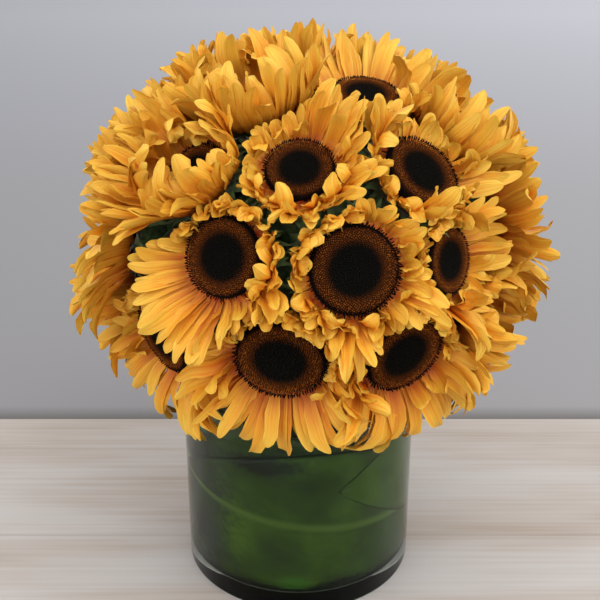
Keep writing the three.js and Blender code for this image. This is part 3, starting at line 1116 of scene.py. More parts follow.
@dataclass
class Bloom:
    """One sunflower head: its ray petals and its disc of florets.

    Attributes:
        label: Its number in the names of the CAD nodes.
        petal_count: How many petals its CAD node has.
        disc_radius: The disc's radius on a bloom of size one.
        disc_back: How far the disc's flat back lies behind the bloom's middle.
        base_share: The flat back's radius, as a share of the disc's.
        petal_length: The length of a free petal.
        petal_half: Half its width.
        root_radius: Where petals start, on a bloom of size one.
        root_levels: The height at which the petals of each layer start.
        chaff: How far the chaff at the disc's rim leans out over the petals.
        pressed_back: How much shorter than the CAD node's the shortest petals are.
        painted_top_light: How much paler the petals are painted, as light from above, on a bloom that faces
            up.
        dome_middle: The middle of the dome's rounding.
        dome_reach: How far the dome's rounding reaches along each axis.
        middle: The bloom's middle.
        turn: The matrix that turns the bloom, whose third column is the way it faces.
        size: Its size, as a multiple of the usual.
        random: What its petals draw their chances from.
    """

    label: str
    petal_count: int = 20
    disc_radius: float = 23.5
    disc_back: float = 4.3
    base_share: float = 0.97
    petal_length: float = 42.0
    petal_half: float = 5.0
    root_radius: float = 21.9
    root_levels: tuple[float, float, float] = (-3.2, -4.4, -5.8)
    chaff: float = 1.5
    pressed_back: float = 0.35
    painted_top_light: float = 0.55
    dome_middle: tuple[float, float, float] = (6.0, 4.0, 228.0)
    dome_reach: tuple[float, float, float] = (150.0, 150.0, 132.0)
    middle: np.ndarray = field(init=False)
    turn: np.ndarray = field(init=False)
    size: float = field(init=False)
    random: np.random.Generator = field(init=False)

    def __post_init__(self) -> None:
        """Reads the bloom's place from its disc, whose flat back is its largest flat face."""
        triangles = node_triangles(f"disc_{self.label}")
        normals = np.cross(triangles[:, 1] - triangles[:, 0], triangles[:, 2] - triangles[:, 0])
        areas = np.linalg.norm(normals, axis=1)
        units = normals / areas[:, None]
        alike = units @ units.T > 0.9999
        best = int(np.argmax(alike @ areas))
        rim = np.unique(triangles[alike[best]].reshape(-1, 3).round(3), axis=0)
        facing = -units[best]
        centre = rim.mean(axis=0)
        self.size = float(np.linalg.norm(rim - centre, axis=1).mean()) / (self.base_share * self.disc_radius)
        self.middle = centre + self.disc_back * facing
        self.turn = np.array(Vector((0, 0, 1)).rotation_difference(Vector(facing)).to_matrix())
        self.random = np.random.default_rng(int(self.label) * 149)

    def placed(self, points: np.ndarray) -> np.ndarray:
        """Takes points from the bloom's own frame to the object's."""
        return points @ self.turn.T + self.middle

    def petal_lines(self) -> list[np.ndarray]:
        """Reads the line of each petal of the CAD node.

        Returns:
            For each petal its root, its one or two sections and its tip, each as a distance from
            the bloom's axis, a sideways step and a height.
        """
        corners = np.unique(node_triangles(f"petals_{self.label}").reshape(-1, 3).round(3), axis=0)
        local = (corners - self.middle) @ self.turn
        share = math.pi / self.petal_count
        lines = []
        for number in range(self.petal_count):
            cos, sin = math.cos(2 * share * number), math.sin(2 * share * number)
            seen = np.column_stack(
                [local[:, 0] * cos + local[:, 1] * sin, local[:, 1] * cos - local[:, 0] * sin, local[:, 2]]
            )
            seen = seen[np.abs(np.arctan2(seen[:, 1], seen[:, 0])) < share * 0.995]
            # A section has two corners that mirror each other, and a keel close to their middle.
            # The corner that is far from every section is the tip.
            mirrored = seen * (1, -1, 1)
            twins = np.linalg.norm(seen[:, None] - mirrored[None], axis=2) < 0.02
            paired = twins.any(axis=1) & (seen[:, 1] > 0.5)
            sections = seen[paired] * (1, 0, 1)
            others = seen[~(twins.any(axis=1) & (np.abs(seen[:, 1]) > 0.5))]
            root = np.array([self.disc_radius * self.size + 3, 0, -5.8])
            sections = sections[np.argsort(np.linalg.norm(sections - root, axis=1))]
            keel = np.linalg.norm(others[:, None] - sections[None], axis=2).min(axis=1)
            tips = others[keel > 1.7]
            if len(tips) != 1:
                raise ValueError(f"petal {number} of bloom {self.label} has {len(tips)} tips")
            lines.append(np.vstack([root, sections, tips]))
        return lines

    def petals(self, tree: bpy.types.NodeTree, material: bpy.types.Material) -> None:
        """Grows sixty petals, one on each of the CAD node's and two between each two.

        Where the neighbours crowd the bloom, short crumpled petals come before them.

        Args:
            tree: The tree that sweeps blades.
            material: Their finish.
        """
        coarse = self.petal_lines()
        guides = Guides()
        for number in range(3 * self.petal_count):
            whole, layer = divmod(number, 3)
            pair = [coarse[whole], coarse[(whole + 1) % self.petal_count]]
            root = np.array([self.root_radius * self.size, 0, self.root_levels[layer]])
            lines = [smooth_line(np.vstack([root, line]), PETAL_SHARES) for line in pair]
            line = lines[0] + (lines[1] - lines[0]) * layer / 3
            direction = 2 * math.pi / self.petal_count * (whole + layer / 3) + self.random.normal(0, 0.03)
            crowded = self.crowding(line)
            droop = self.droop(crowded, direction)
            turn = self.random.normal(0.15 - 0.4 * crowded + 1.1 * droop, 0.25 + 0.4 * crowded)
            self.petal(guides, line[0] + (line - line[0]) * (1 + 0.4 * droop), direction, turn)
            if crowded > self.random.uniform(0.38, 0.98):
                step = math.pi / self.petal_count * self.random.uniform(-0.8, 0.8)
                turn = self.random.normal(-1.35, 0.5)
                self.petal(guides, self.tuft(line), direction + step, turn, breadth=1.25)
        made = guides.place(f"rays_{self.label}")
        grow(made, tree, material, Thickness=0.045, Pleat=0.11)
        hand_over(made, Slot.PETAL, f"petals_{self.label}")

    def droop(self, crowded: float, direction: float) -> float:
        """How far a crowded lower petal hangs over the bloom below, on one that faces sideways.

        Args:
            crowded: How far neighbours press the petal upright, from 0 to 1.
            direction: The angle at which it leaves the bloom's middle.

        Returns:
            A share from 0 to 1.
        """
        down = max(0.0, -float(self.turn[2] @ (math.cos(direction), math.sin(direction), 0)))
        sideways = min(1.0, max(0.0, 1.3 - 2 * float(self.turn[2, 2])))
        return min(1.0, 1.6 * crowded) * down * sideways

    def crowding(self, line: np.ndarray) -> float:
        """How far neighbours press a petal upright, from 0 to 1."""
        length = np.linalg.norm(np.diff(line, axis=0), axis=1).sum()
        return float(np.clip((line[-1, 2] - line[0, 2]) / length * 1.15, 0, 1))

    def tuft(self, line: np.ndarray) -> np.ndarray:
        """Takes the line of a short petal that stands before a crowded one.

        Args:
            line: The crowded petal's line.

        Returns:
            The line of the short one.
        """
        root = line[0] + (3.4, 0, 1.6)
        short = (line - line[0]) * self.random.uniform(0.75, 1.2) * (0.5, 1, 1.05)
        return root + short

    def trim(self, line: np.ndarray, direction: float) -> float:
        """How far a petal may reach before it stands out of the dome's rounding.

        Args:
            line: Its points, as distances from the bloom's axis, sideways steps and heights.
            direction: The angle at which it leaves the bloom's middle.

        Returns:
            The share of its length that it keeps.
        """
        shares = np.linspace(1, 0.7, 16)
        tips = self.placed(swung(line[0] + (line[-1] - line[0]) * shares[:, None], direction)[0])
        reach = np.array(self.dome_reach) * self.random.uniform(0.97, 1.03)
        within = np.linalg.norm((tips - self.dome_middle) / reach, axis=1) < 1
        return float(shares[np.argmax(within)] if within.any() else shares[-1])

    def curl(self, line: np.ndarray, turn: float) -> np.ndarray:
        """Bends the outer half of a petal's line away from the bloom's axis.

        Args:
            line: Its points, as distances from the axis, sideways steps and heights.
            turn: How far its tip turns, in radians.

        Returns:
            The bent line.
        """
        steps = np.diff(line, axis=0)
        turns = -turn * np.clip((PETAL_SHARES[1:] - 0.4) / 0.6, 0, 1) ** 1.3
        cos, sin = np.cos(turns), np.sin(turns)
        out, up = steps[:, 0], steps[:, 2]
        bent = np.column_stack([out * cos - up * sin, steps[:, 1], out * sin + up * cos])
        return np.vstack([line[:1], line[0] + np.cumsum(bent, axis=0)])

    def petal(
        self, guides: Guides, line: np.ndarray, direction: float, turn: float, breadth: float = 1.0
    ) -> None:
        """Adds one petal's line, bent and twisted a little as no two are alike.

        Args:
            guides: Where the line goes.
            line: Its points, as distances from the bloom's axis, sideways steps and heights.
            direction: The angle at which it leaves the bloom's middle.
            turn: How far its tip curls away from the bloom's axis, in radians.
            breadth: How broad it is, as a multiple of the usual.
        """
        draw, shares = self.random, PETAL_SHARES
        length = np.linalg.norm(np.diff(line, axis=0), axis=1).sum()
        crowded = self.crowding(line)
        shortness = 1 - min(1.0, length / self.petal_length)
        line = line[0] + (line - line[0]) * (1 - self.pressed_back * shortness)
        line = self.curl(line, turn)
        line[:, 1] += draw.normal(0, 1.8 + 2.6 * crowded) * shares**2
        line[:, 2] += draw.normal(0, 1.2) * shares**1.5
        line[:, 2] += (0.3 + 1.2 * crowded) * np.sin(2 * math.pi * (1.3 * shares + draw.uniform())) * shares
        line = line[0] + (line - line[0]) * self.trim(line, direction)
        # A petal that curls in over the disc stays above its florets.
        edge = self.disc_radius * self.size + self.chaff
        over = np.clip((edge - line[:, 0]) / 2, 0, 1) * (shares > 0.3)
        line[:, 2] = np.where(over > 0, np.maximum(line[:, 2], 5.0 * over), line[:, 2])
        points, side = swung(line, direction)
        twists = draw.normal(0, 0.25 + 0.75 * crowded) * shares + draw.normal(0, 0.1)
        ups = face_up(points, side, twists)
        fullness = 0.84 + 0.16 * min(1.0, length / self.petal_length)
        swell = 0.42 + 0.58 * np.clip(shares / 0.5, 0, 1) ** 0.8
        taper = np.maximum(
            (1 - np.clip((shares - 0.42) / 0.58, 0, 1) ** 3.4) ** draw.uniform(0.45, 0.6), 0.05
        )
        slim = draw.uniform(0.8, 1.12) * (1 - 0.1 * crowded)
        halves = self.petal_half * breadth * fullness * slim * swell * taper
        cup = draw.normal(0.24, 0.14) * (1 - 1.1 * shares)
        # A petal's tone differs at random; it is raised as painted light on a bloom that faces up and lowered
        # as painted shade where neighbours crowd it.
        guides.line(
            self.placed(points),
            up=ups @ self.turn.T,
            half=halves * MM,
            cup=cup + draw.normal(0.2 * crowded, 0.15 + 0.4 * crowded) * shares,
            ruffle=draw.uniform(0.04, 0.12) + draw.uniform(0, 0.3) * crowded,
            along=shares,
            tone=draw.uniform(0, 1) + self.painted_top_light * max(0.0, float(self.turn[2, 2])) - 0.2 * crowded,
        )

    def florets(self, tree: bpy.types.NodeTree, material: bpy.types.Material) -> None:
        """Packs the disc with florets on a low dish.

        Args:
            tree: The tree that packs florets.
            material: Their finish.
        """
        rim = self.disc_radius
        back = -self.disc_back
        dish = [(0.0, back), (0.93, back), (0.975, -1.6), (0.9, 0.4), (0.75, 1.2), (0.45, 0.8), (0.0, 0.2)]
        points, faces = lathe([(rim * share, height) for share, height in dish], 30)
        made = place_mesh(f"florets_{self.label}", points, faces)
        store(made, "ring", np.linalg.norm(points[:, :2], axis=1) / rim)
        grow(made, tree, material, Seed=int(self.label))
        turn = Matrix(self.turn.tolist()).to_4x4()
        made.data.transform(Matrix.Translation(Vector(self.middle * MM)) @ turn @ Matrix.Scale(self.size, 4))
        hand_over(made, Slot.DISC, f"disc_{self.label}")


@dataclass
class Bunch:
    """The stems and calyxes of one third of the dome, pressed together in the vase's neck.

    Attributes:
        number: Which third, from 0.
        blooms: The blooms on its stems.
        count: How many bunches there are.
        axis_x: Where the dome's axis stands along X.
        offset: How far the bunch's middle stands from the vase's axis.
        waist: The height at which stems are pressed together.
        pitch: How far apart they stand there.
        spread: How far apart they stand above the water.
        foot_spread: How far apart they stand on the vase's floor.
        foot: The height of their lower ends.
        above_water: The height up to which they run straight.
        rise: How far above the waist they start to bend to their blooms.
        stem_radius: The radius of a stem.
        neck: The length of straight stem below a calyx.
        calyx_depth: How far a calyx reaches back.
        ray_bottom: The level of the petals' undersides, from the bloom's middle.
        bloom_pitch: How far apart blooms stand.
        bracts: How many bracts a row of a calyx has.
        bract_rows: Each row's reach, and how far it lies behind the first.
        bract_half: Half a bract's width.
        leaves_each: How many small leaves spread under a bloom.
        leaf_half: Half the width of one.
        mouth_leaves: How many leaves spread over the vase's mouth.
        mouth_half: Half the width of one.
    """

    number: int
    blooms: list[Bloom] = field(default_factory=list)
    count: int = 3
    axis_x: float = 7.0
    offset: float = 25.0
    waist: float = 153.0
    pitch: float = 7.5
    spread: float = 11.0
    foot_spread: float = 11.6
    foot: float = 12.35
    above_water: float = 126.0
    rise: float = 17.0
    stem_radius: float = 4.6
    neck: float = 24.0
    calyx_depth: float = 18.0
    ray_bottom: float = -7.0
    bloom_pitch: float = 38.0
    bracts: int = 15
    bract_rows: tuple[tuple[float, float], ...] = ((37.0, 0.0), (35.0, 0.9), (32.0, 1.8))
    bract_half: float = 5.4
    leaves_each: int = 8
    leaf_half: float = 11.5
    mouth_leaves: int = 6
    mouth_half: float = 15.0

    def holds(self, bloom: Bloom) -> bool:
        """Whether a bloom stands on this bunch's side of the dome."""
        azimuth = math.degrees(math.atan2(bloom.middle[0] - self.axis_x, -bloom.middle[1]))
        return math.floor(azimuth * self.count / 360 + 0.5) % self.count == self.number

    def middle(self) -> np.ndarray:
        """Where the bunch stands, from the vase's axis."""
        turn = 2 * math.pi * self.number / self.count
        return self.offset * np.array([math.sin(turn), -math.cos(turn)])

    def places(self) -> list[np.ndarray]:
        """Deals each bloom a place at the waist, so that stems cross as little as possible.

        Returns:
            Each bloom's place, as multiples of the pitch.
        """
        spots = [np.zeros(2)]
        for i in range(12):
            angle = math.pi / 3 * (i + (0 if i < 6 else 0.5))
            spots.append((1 if i < 6 else math.sqrt(3)) * np.array([math.cos(angle), math.sin(angle)]))
        spots = spots[: len(self.blooms)]
        mean = np.mean([bloom.middle for bloom in self.blooms], axis=0)

        def cost(bloom: Bloom, spot: np.ndarray) -> float:
            """How far a place lies from where the bloom would have it."""
            return float(np.linalg.norm((bloom.middle - mean)[:2] / self.bloom_pitch - spot))

        for _ in self.blooms:
            for i, one in enumerate(self.blooms):
                for j in range(i):
                    other = self.blooms[j]
                    kept = cost(one, spots[i]) + cost(other, spots[j])
                    if cost(one, spots[j]) + cost(other, spots[i]) < kept:
                        spots[i], spots[j] = spots[j], spots[i]
        return spots

    def stem_line(self, bloom: Bloom, spot: np.ndarray) -> np.ndarray:
        """The line of a stem, from the vase's floor to its calyx.

        Args:
            bloom: The bloom on it.
            spot: Its place at the waist.

        Returns:
            Points along it.
        """
        middle = self.middle()
        facing = bloom.turn[:, 2]
        head = bloom.middle + facing * (self.ray_bottom - self.calyx_depth * 0.6)
        neck = head - self.neck * facing
        waist = np.array([*(middle + spot * self.pitch), self.waist])
        above = waist + 0.3 * (neck - waist)
        above[2] = self.waist + self.rise
        foot = np.array([*(middle + spot * self.foot_spread), self.foot])
        water = np.array([*(middle + spot * self.spread), self.above_water])
        straight = [foot + (water - foot) * share for share in (0, 0.33, 0.66, 0.97)]
        bend = smooth_line([waist, above, neck, head], np.linspace(0, 1, 14))
        return np.vstack([*straight, bend])

    def stems(self, tree: bpy.types.NodeTree, material: bpy.types.Material) -> None:
        """Sweeps the stems.

        Args:
            tree: The tree that sweeps stems.
            material: Their finish.
        """
        guides = Guides()
        for bloom, spot in zip(self.blooms, self.places()):
            points = self.stem_line(bloom, spot)
            swell = np.ones(len(points))
            swell[-3:] = (1.05, 1.25, 1.6)
            guides.line(points, half=self.stem_radius * 0.98 * swell * MM)
        made = guides.place(f"stems_{self.number + 1}")
        grow(made, tree, material, Seed=self.number)
        hand_over(made, Slot.STEM, f"stem_bunch_{self.number + 1}")

    def calyxes(self, tree: bpy.types.NodeTree, material: bpy.types.Material) -> None:
        """Sets three rows of pointed bracts behind each bloom.

        Args:
            tree: The tree that sweeps blades.
            material: Their finish.
        """
        shares = np.linspace(0, 1, 7)
        halves = self.bract_half * np.array([0.5, 0.8, 1.0, 0.95, 0.66, 0.28, 0.04])
        rows = len(self.bract_rows)
        guides = Guides()
        for bloom in self.blooms:
            draw = np.random.default_rng(int(bloom.label) + 500)
            for index in range(rows * self.bracts):
                row = index % rows
                reach, drop = self.bract_rows[row]
                reach *= draw.uniform(0.88, 1.06)
                direction = index * 2 * math.pi / (rows * self.bracts) + draw.normal(0, 0.04)
                line = [
                    (9.0, 0, -21.5 - drop),
                    (18.0, 0, -16.0 - drop),
                    (24.5, 0, -10.2 - drop),
                    (reach * 0.86, 0, -8.6 - drop),
                    (reach, draw.normal(0, 2.5), -8.9 - drop - abs(draw.normal(0, 1.5 + 2.5 * row))),
                ]
                points, side = swung(smooth_line(line, shares), direction)
                ups = face_up(points, side, draw.normal(0, 0.15) * shares)
                guides.line(
                    bloom.placed(points * bloom.size),
                    up=ups @ bloom.turn.T,
                    half=halves * MM,
                    cup=0.2,
                    ruffle=0.03,
                    along=shares,
                    tone=draw.uniform(0, 1),
                )
        made = guides.place(f"bracts_{self.number + 1}")
        grow(made, tree, material, Thickness=0.08, Pleat=0.0)
        hand_over(made, Slot.STEM, f"stem_bunch_{self.number + 1}")

    def leaves(self, tree: bpy.types.NodeTree, material: bpy.types.Material) -> None:
        """Sets small leaves on the stems, which darken the gaps between the blooms.

        Some spread to the sides under each bloom, and some over the mouth of the vase.

        Args:
            tree: The tree that sweeps blades.
            material: Their finish.
        """
        shares = np.linspace(0, 1, 8)
        widths = np.array([0.28, 0.7, 0.98, 1.0, 0.85, 0.58, 0.28, 0.03])
        blades = []
        for bloom in self.blooms:
            draw = np.random.default_rng(int(bloom.label) + 900)
            for index in range(self.leaves_each):
                direction = 2 * math.pi * (index + draw.uniform(0, 0.4)) / self.leaves_each
                reach, turn = draw.uniform(42, 52), draw.normal(0, 0.4)
                line = [
                    (3.0, 0, -41.0),
                    (reach * 0.35, 0, -34.0),
                    (reach * 0.75, draw.normal(0, 1.5), -27.0),
                    (reach, draw.normal(0, 3), -24.0 - abs(draw.normal(0, 4))),
                ]
                points, side = swung(smooth_line(line, shares), direction)
                if np.cross(side, (0, 0, 1)) @ bloom.turn[2] > -0.6:
                    ups = face_up(points, side, turn * shares)
                    blades.append((bloom.placed(points * bloom.size), ups @ bloom.turn.T, self.leaf_half))
        draw = np.random.default_rng(self.number + 990)
        across, out = self.middle()
        for index in range(self.mouth_leaves):
            share = (index + 0.5) / self.mouth_leaves - 0.5
            direction = math.atan2(out, across) + 2 * math.pi / self.count * share
            high = self.waist + draw.uniform(8, 18)
            line = [(26, 0, self.waist - 4), (38, 0, high - 4), (54, 0, high), (66, 0, high - 6)]
            points, side = swung(smooth_line(line, shares), direction)
            blades.append((points, face_up(points, side, draw.normal(0, 0.3) * shares), self.mouth_half))
        guides = Guides()
        for points, ups, half in blades:
            guides.line(
                points,
                up=ups,
                half=half * widths * MM,
                cup=draw.normal(0.3, 0.2),
                ruffle=0.1,
                along=shares,
                tone=draw.uniform(0, 1),
            )
        made = guides.place(f"upper_leaves_{self.number + 1}")
        grow(made, tree, material, Thickness=0.05, Pleat=0.12)
        hand_over(made, Slot.LEAF, f"stem_bunch_{self.number + 1}")

    def cups(self, material: bpy.types.Material) -> None:
        """Turns the green cup that the bracts grow on.

        Args:
            material: Its finish.
        """
        profile = [(0, -25.0), (6, -24.0), (13, -19.5), (19, -14.5), (22, -9.5), (22, -7.4), (0, -7.4)]
        points, faces = lathe(profile, 24)
        whole, sides = [], []
        for bloom in self.blooms:
            start = len(whole) * len(points)
            whole.append(bloom.placed(points * bloom.size))
            sides += [[start + corner for corner in face] for face in faces]
        made = solid(f"cups_{self.number + 1}", np.vstack(whole), sides, material)
        hand_over(made, Slot.STEM, f"stem_bunch_{self.number + 1}")


@dataclass
class LinerLeaf:
    """A long leaf wound against the inside of the glass, pointed at both ends.

    Attributes:
        name: The end of its CAD node's name.
        start: Where it starts, in degrees round the vase from the front.
        end: Where it ends.
        radius: How far its outer face stands from the vase's axis.
        up: How far it reaches above its midrib.
        down: How far it reaches below.
        rib: The height of its midrib at each angle.
        depth: How much lighter than the front leaf it is.
        thickness: Its thickness.
        lowest: The height of the lowest edge.
        highest: The height of the highest edge.
        step: The degrees from one row of points to the next.
        rows: The points from the midrib to the edge.
    """

    name: str
    start: float
    end: float
    radius: float
    up: float
    down: float
    rib: Callable[[float], float]
    depth: float
    thickness: float = 0.7
    lowest: float = 15.0
    highest: float = 146.0
    step: float = 2.5
    rows: int = 9

    def build(self, material: bpy.types.Material) -> None:
        """Lays the leaf, with its midrib standing a little proud.

        Args:
            material: Its finish.
        """
        columns = round((self.end - self.start) / self.step)
        levels = np.linspace(-1, 1, 2 * self.rows - 1)
        grid, veins, alongs = [], [], []
        for i in range(columns + 1):
            azimuth = self.start + (self.end - self.start) * i / columns
            share = (i + 0.06) / (columns + 0.12)
            fullness = math.sin(math.pi * share**0.9)
            middle = self.rib(azimuth)
            below = middle - self.down * fullness ** (0.45 if self.down > self.up else 1)
            above = middle + self.up * fullness
            low, high = max(below, self.lowest), min(above, self.highest)
            heights = np.where(
                levels < 0, middle + (middle - low) * levels, middle + (high - middle) * levels
            )
            ripple = 0.12 * np.sin(levels * 5 + azimuth * 0.11) * (1 - np.abs(levels) ** 6)
            proud = 0.2 * np.exp(-((levels / 0.04) ** 2))
            grid.append((math.radians(azimuth), heights, ripple + proud))
            veins.append(levels)
            alongs.append(np.full(len(levels), share))
        points = []
        for depth in (0.0, self.thickness):
            for angle, heights, relief in grid:
                radius = self.radius - depth + relief
                points.append(np.column_stack([radius * math.sin(angle), -radius * math.cos(angle), heights]))
        count, half = len(levels), (columns + 1) * len(levels)
        faces = []
        for i in range(columns):
            for k in range(count - 1):
                a, b = i * count + k, (i + 1) * count + k
                faces.append([a, b, b + 1, a + 1])
                faces.append([half + a, half + a + 1, half + b + 1, half + b])
            low, high = i * count, (i + 1) * count - 1
            faces.append([low, half + low, half + low + count, low + count])
            faces.append([high, high + count, half + high + count, half + high])
        for k in range(count - 1):
            last = columns * count + k
            faces.append([k, k + 1, half + k + 1, half + k])
            faces.append([last, half + last, half + last + 1, last + 1])
        made = solid(f"blade_{self.name}", np.vstack(points), faces, material)
        store(made, "vein", np.tile(np.concatenate(veins), 2))
        store(made, "along", np.tile(np.concatenate(alongs) * (self.end - self.start) / 90, 2))
        store(made, "tone", np.full(2 * half, self.start * 0.1))
        store(made, "depth", np.full(2 * half, self.depth))
        hand_over(made, Slot.LEAF, f"liner_leaf_{self.name}")


@dataclass
class Vase:
    """The low glass cylinder, with its thick floor and fire-polished rim.

    Attributes:
        radius: Its outer radius.
        height: How high it stands.
        wall: The wall's thickness.
        floor: The floor's thickness.
        foot: The rounding of the foot's edge.
        corner: The rounding between wall and floor, inside.
        level: The height of the water.
        creep_up: How far the water creeps up the glass.
        creep_out: How far from the glass it starts to.
        contact: How far the water reaches into the glass, so that no air lies between.
        segments: The number of sides.
    """

    radius: float = 75.0
    height: float = 150.0
    wall: float = 4.0
    floor: float = 12.0
    foot: float = 1.5
    corner: float = 2.5
    level: float = 118.0
    creep_up: float = 1.3
    creep_out: float = 2.4
    contact: float = 0.05
    segments: int = 128

    def profile(self) -> list[tuple[float, float]]:
        """The outline of half of the vase.

        Returns:
            Radius and height along it, from the axis under the foot to the axis on the floor.
        """
        lip = self.wall / 2
        inner = self.radius - self.wall
        foot = [
            (self.radius - self.foot + self.foot * math.sin(a), self.foot - self.foot * math.cos(a))
            for a in QUARTER_TURN
        ]
        half = [math.radians(a) for a in range(0, 181, 30)]
        rim = [
            (self.radius - lip + lip * math.cos(a), self.height - lip + lip * math.sin(a)) for a in half
        ]
        corner = [
            (
                inner - self.corner + self.corner * math.cos(a),
                self.floor + self.corner - self.corner * math.sin(a),
            )
            for a in QUARTER_TURN
        ]
        return [(0, 0), *foot, *rim, *corner, (0, self.floor)]

    def filling(self) -> list[tuple[float, float]]:
        """The outline of half of the water, which wets the glass and creeps up it at the edge.

        Returns:
            Radius and height along it, from the axis on the floor to the axis at the surface.
        """
        wet = self.radius - self.wall + self.contact
        low = self.floor - self.contact
        corner = [
            (wet - self.corner + self.corner * math.sin(a), low + self.corner - self.corner * math.cos(a))
            for a in QUARTER_TURN
        ]
        edge = [
            (wet - self.creep_out * (1 - share), self.level + self.creep_up * share**2)
            for share in (1.0, 0.75, 0.5, 0.25, 0.0)
        ]
        return [(0, low), *corner, *edge, (0, self.level)]

    def build(self, glass: bpy.types.Material, water: bpy.types.Material) -> None:
        """Blows the glass and fills it.

        Args:
            glass: The finish of the vase.
            water: The finish of the water.
        """
        vessel = solid("glass_cylinder", *lathe(braced(self.profile()), self.segments), glass)
        hand_over(vessel, Slot.GLASS, "vase")
        filling = solid("still_water", *lathe(braced(self.filling()), self.segments), water)
        hand_over(filling, Slot.WATER, "water")


@dataclass
class Studio:
    """The pale table, the soft light and the camera.

    Attributes:
        camera_place: Where the camera stands, in metres.
        pitch_deg: How far it looks down, in degrees.
        lens_mm: Its focal length, in millimetres.
        shift: How far its picture is shifted to the side, as a share of its width.
        seam: How far back the table ends, in metres.
        joint: Where two of its planks meet, in metres.
        reach: How far the floor reaches each way, in metres.
        gap: The air under the vase's foot, in millimetres.
        wood: The table's colours, from stain to lime.
        paper: The colours beyond the table, from near to far: a painted shadow where it meets the table, then
            paler far off as painted light.
    """

    camera_place: tuple[float, float, float] = (0.0, -0.657, 0.496)
    pitch_deg: float = 25.3
    lens_mm: float = 69.0
    shift: float = 0.0025
    seam: float = 0.162
    joint: float = 0.005
    reach: float = 6.0
    gap: float = 0.2
    wood: tuple[tuple[float, str], ...] = (
        (0.5, "AB9D8E"),
        (0.62, "B6ACA2"),
        (0.74, "BEB8B1"),
        (0.9, "C5C2BD"),
    )
    paper: tuple[tuple[float, str], ...] = (
        (0.0, "66635F"),
        (0.012, "929090"),
        (0.13, "919090"),
        (0.3, "969596"),
        (0.56, "A3A3A7"),
        (0.94, "B5B5BA"),
    )

    def noise(
        self,
        tree: bpy.types.NodeTree,
        place: bpy.types.NodeSocket,
        scales: tuple[float, float, float],
        detail: float,
    ) -> bpy.types.NodeSocket:
        """Adds a noise that is drawn out along the planks.

        Args:
            tree: The material's tree.
            place: The place that it reads, in metres.
            scales: How many of its waves a metre holds, each way.
            detail: Its detail.

        Returns:
            Its value.
        """
        drawn = add(tree, "ShaderNodeVectorMath", {0: place, 1: scales}, operation="MULTIPLY")
        node = add(tree, "ShaderNodeTexNoise", {"Vector": drawn.outputs[0], "Scale": 1.0, "Detail": detail})
        return node.outputs["Fac"]

    def table(self) -> None:
        """Lays one wide floor: pale wood in front, and a cool grey past its far edge."""
        # A hair's breadth lies under the foot, so that the glass reflects inside its base.
        corners = np.array([(-1, -1), (1, -1), (1, 1), (-1, 1)]) * self.reach / MM
        corners = np.column_stack([corners, np.full(4, -self.gap)])
        made = place_mesh("floor", corners, [(0, 1, 2, 3)])
        material, tree = fresh_material("Limed pale wood and grey paper")
        place = add(tree, "ShaderNodeTexCoord").outputs["Object"]
        spot = add(tree, "ShaderNodeSeparateXYZ", {0: place}).outputs
        # Limed planks: warm stains under the lime, and fine grain along the planks.
        stains = self.noise(tree, place, (3.0, 14.0, 1.0), 3.0)
        grain = self.noise(tree, place, (5.0, 260.0, 1.0), 3.0)
        mixed = add(tree, "ShaderNodeMath", {0: grain, 1: 0.35, 2: stains}, operation="MULTIPLY_ADD")
        wood = add(tree, "ShaderNodeValToRGB", {"Fac": mixed.outputs[0]}, stops=self.wood)
        away = add(tree, "ShaderNodeMath", {0: spot["Y"], 1: self.joint}, operation="SUBTRACT")
        near = add(tree, "ShaderNodeMath", {0: away.outputs[0]}, operation="ABSOLUTE")
        span = {"Value": near.outputs[0], "From Max": 1.5 * MM, "To Min": 0.3, "To Max": 0.0}
        crack = add(tree, "ShaderNodeMapRange", span)
        both = {0: crack.outputs[0], 6: wood.outputs["Color"], 7: linear("857B70")}
        planks = add(tree, "ShaderNodeMix", both, data_type="RGBA")
        # The paper beyond: a painted shadow where it meets the table, and painted light that makes it paler
        # far off and to the right.
        fade = add(tree, "ShaderNodeMapRange", {"Value": spot["Y"], "From Min": self.seam, "From Max": 1.9})
        paper = add(tree, "ShaderNodeValToRGB", {"Fac": fade.outputs[0]}, stops=self.paper)
        painted_light_slope = add(tree, "ShaderNodeMath", {0: spot["X"], 1: 0.28, 2: 1.0}, operation="MULTIPLY_ADD")
        level = add(tree, "ShaderNodeClamp", {"Value": painted_light_slope.outputs[0], "Min": 0.7, "Max": 1.3})
        terms = {0: paper.outputs["Color"], "Scale": level.outputs[0]}
        lit = add(tree, "ShaderNodeVectorMath", terms, operation="SCALE")
        beyond = add(tree, "ShaderNodeMath", {0: spot["Y"], 1: self.seam}, operation="GREATER_THAN")
        both = {0: beyond.outputs[0], 6: planks.outputs[2], 7: lit.outputs[0]}
        colour = add(tree, "ShaderNodeMix", both, data_type="RGBA")
        matt = {"Base Color": colour.outputs[2], "Roughness": 0.7}
        shader = add(tree, "ShaderNodeBsdfPrincipled", matt)
        add(tree, "ShaderNodeOutputMaterial", {"Surface": shader.outputs["BSDF"]})
        made.data.materials.append(material)

    def lamp(self, name: str, place: tuple[float, float, float], size: float, power: float) -> None:
        """Hangs a soft square lamp that faces the blooms.

        Args:
            name: The lamp's name.
            place: Where it hangs, in metres.
            size: Its side, in metres.
            power: Its power, in watts.
        """
        light = bpy.data.lights.new(name, "AREA")
        light.size = size
        light.energy = power
        made = bpy.data.objects.new(name, light)
        made.location = place
        made.rotation_euler = (Vector((0, 0, 0.2)) - Vector(place)).to_track_quat("-Z", "Y").to_euler()
        bpy.context.scene.collection.objects.link(made)

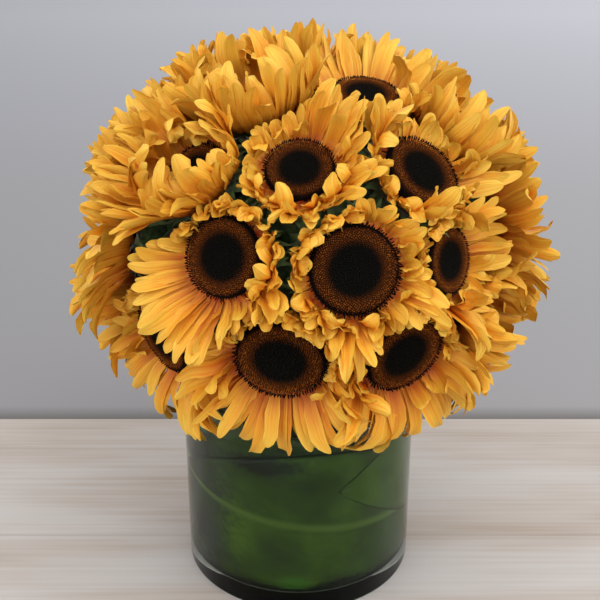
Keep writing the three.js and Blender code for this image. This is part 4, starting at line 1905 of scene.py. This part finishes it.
    def build(self) -> None:
        """Sets up the table, the lamps, the room's light and the camera."""
        self.table()
        self.lamp("key", (0.7, -0.6, 1.4), 1.3, 10.0)
        self.lamp("fill", (-1.1, -0.8, 0.8), 1.2, 4.5)
        world = bpy.data.worlds.new("Room")
        world.use_nodes = True
        background = world.node_tree.nodes["Background"]
        background.inputs["Color"].default_value = linear("F4F4F8")
        background.inputs["Strength"].default_value = 1.1
        bpy.context.scene.world = world
        bpy.context.scene.view_settings.view_transform = "Standard"
        view = bpy.data.cameras.new("photo_view")
        view.lens = self.lens_mm
        view.shift_x = self.shift
        view.clip_start = 0.01
        made = bpy.data.objects.new("photo_view", view)
        made.location = self.camera_place
        made.rotation_euler = (math.radians(90 - self.pitch_deg), 0, 0)
        bpy.context.scene.collection.objects.link(made)
        bpy.context.scene.camera = made


def main() -> None:
    """Builds the object's sub-assemblies in order."""
    logging.basicConfig(level=logging.INFO, format="%(message)s")
    petal, floret = RayPetalFinish().material(), FloretFinish().material()
    bract = GreenFinish("1F3316", "4F7035").material("Hairy bract")
    stem = GreenFinish("2F5220", "6F9A46").material("Hairy stem")
    leaf = LinerLeafFinish().material()
    glass = ClearFinish("Blown soda glass", "F4FAF7", 1.5, 0.0, 60.0).material()
    water = ClearFinish("Still water", "EFF6F2", 1.333, 0.0, 40.0).material()
    blades, tubes, packing = blade_tree(), stem_tree(), floret_tree()
    labels = sorted(name.removeprefix("disc_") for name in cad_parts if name.startswith("disc_"))
    blooms = [Bloom(label) for label in labels]
    for bloom in blooms:
        bloom.petals(blades, petal)
        bloom.florets(packing, floret)
    for number in range(Bunch.count):
        bunch = Bunch(number)
        bunch.blooms = [bloom for bloom in blooms if bunch.holds(bloom)]
        bunch.stems(tubes, stem)
        bunch.calyxes(blades, bract)
        bunch.leaves(blades, bract)
        bunch.cups(bract)
    LinerLeaf("front", -80, 150, 69.55, 56, 72, lambda a: 63 - 0.17 * a, 0.0).build(leaf)
    LinerLeaf("side", 20, 250, 70.6, 52, 52, lambda a: 88 - 0.08 * a, 0.1).build(leaf)
    LinerLeaf("back", 130, 470, 68.5, 60, 78, lambda a: 78, -0.05).build(leaf)
    Vase().build(glass, water)
    Studio().build()


if __name__ == "__main__":
    main()
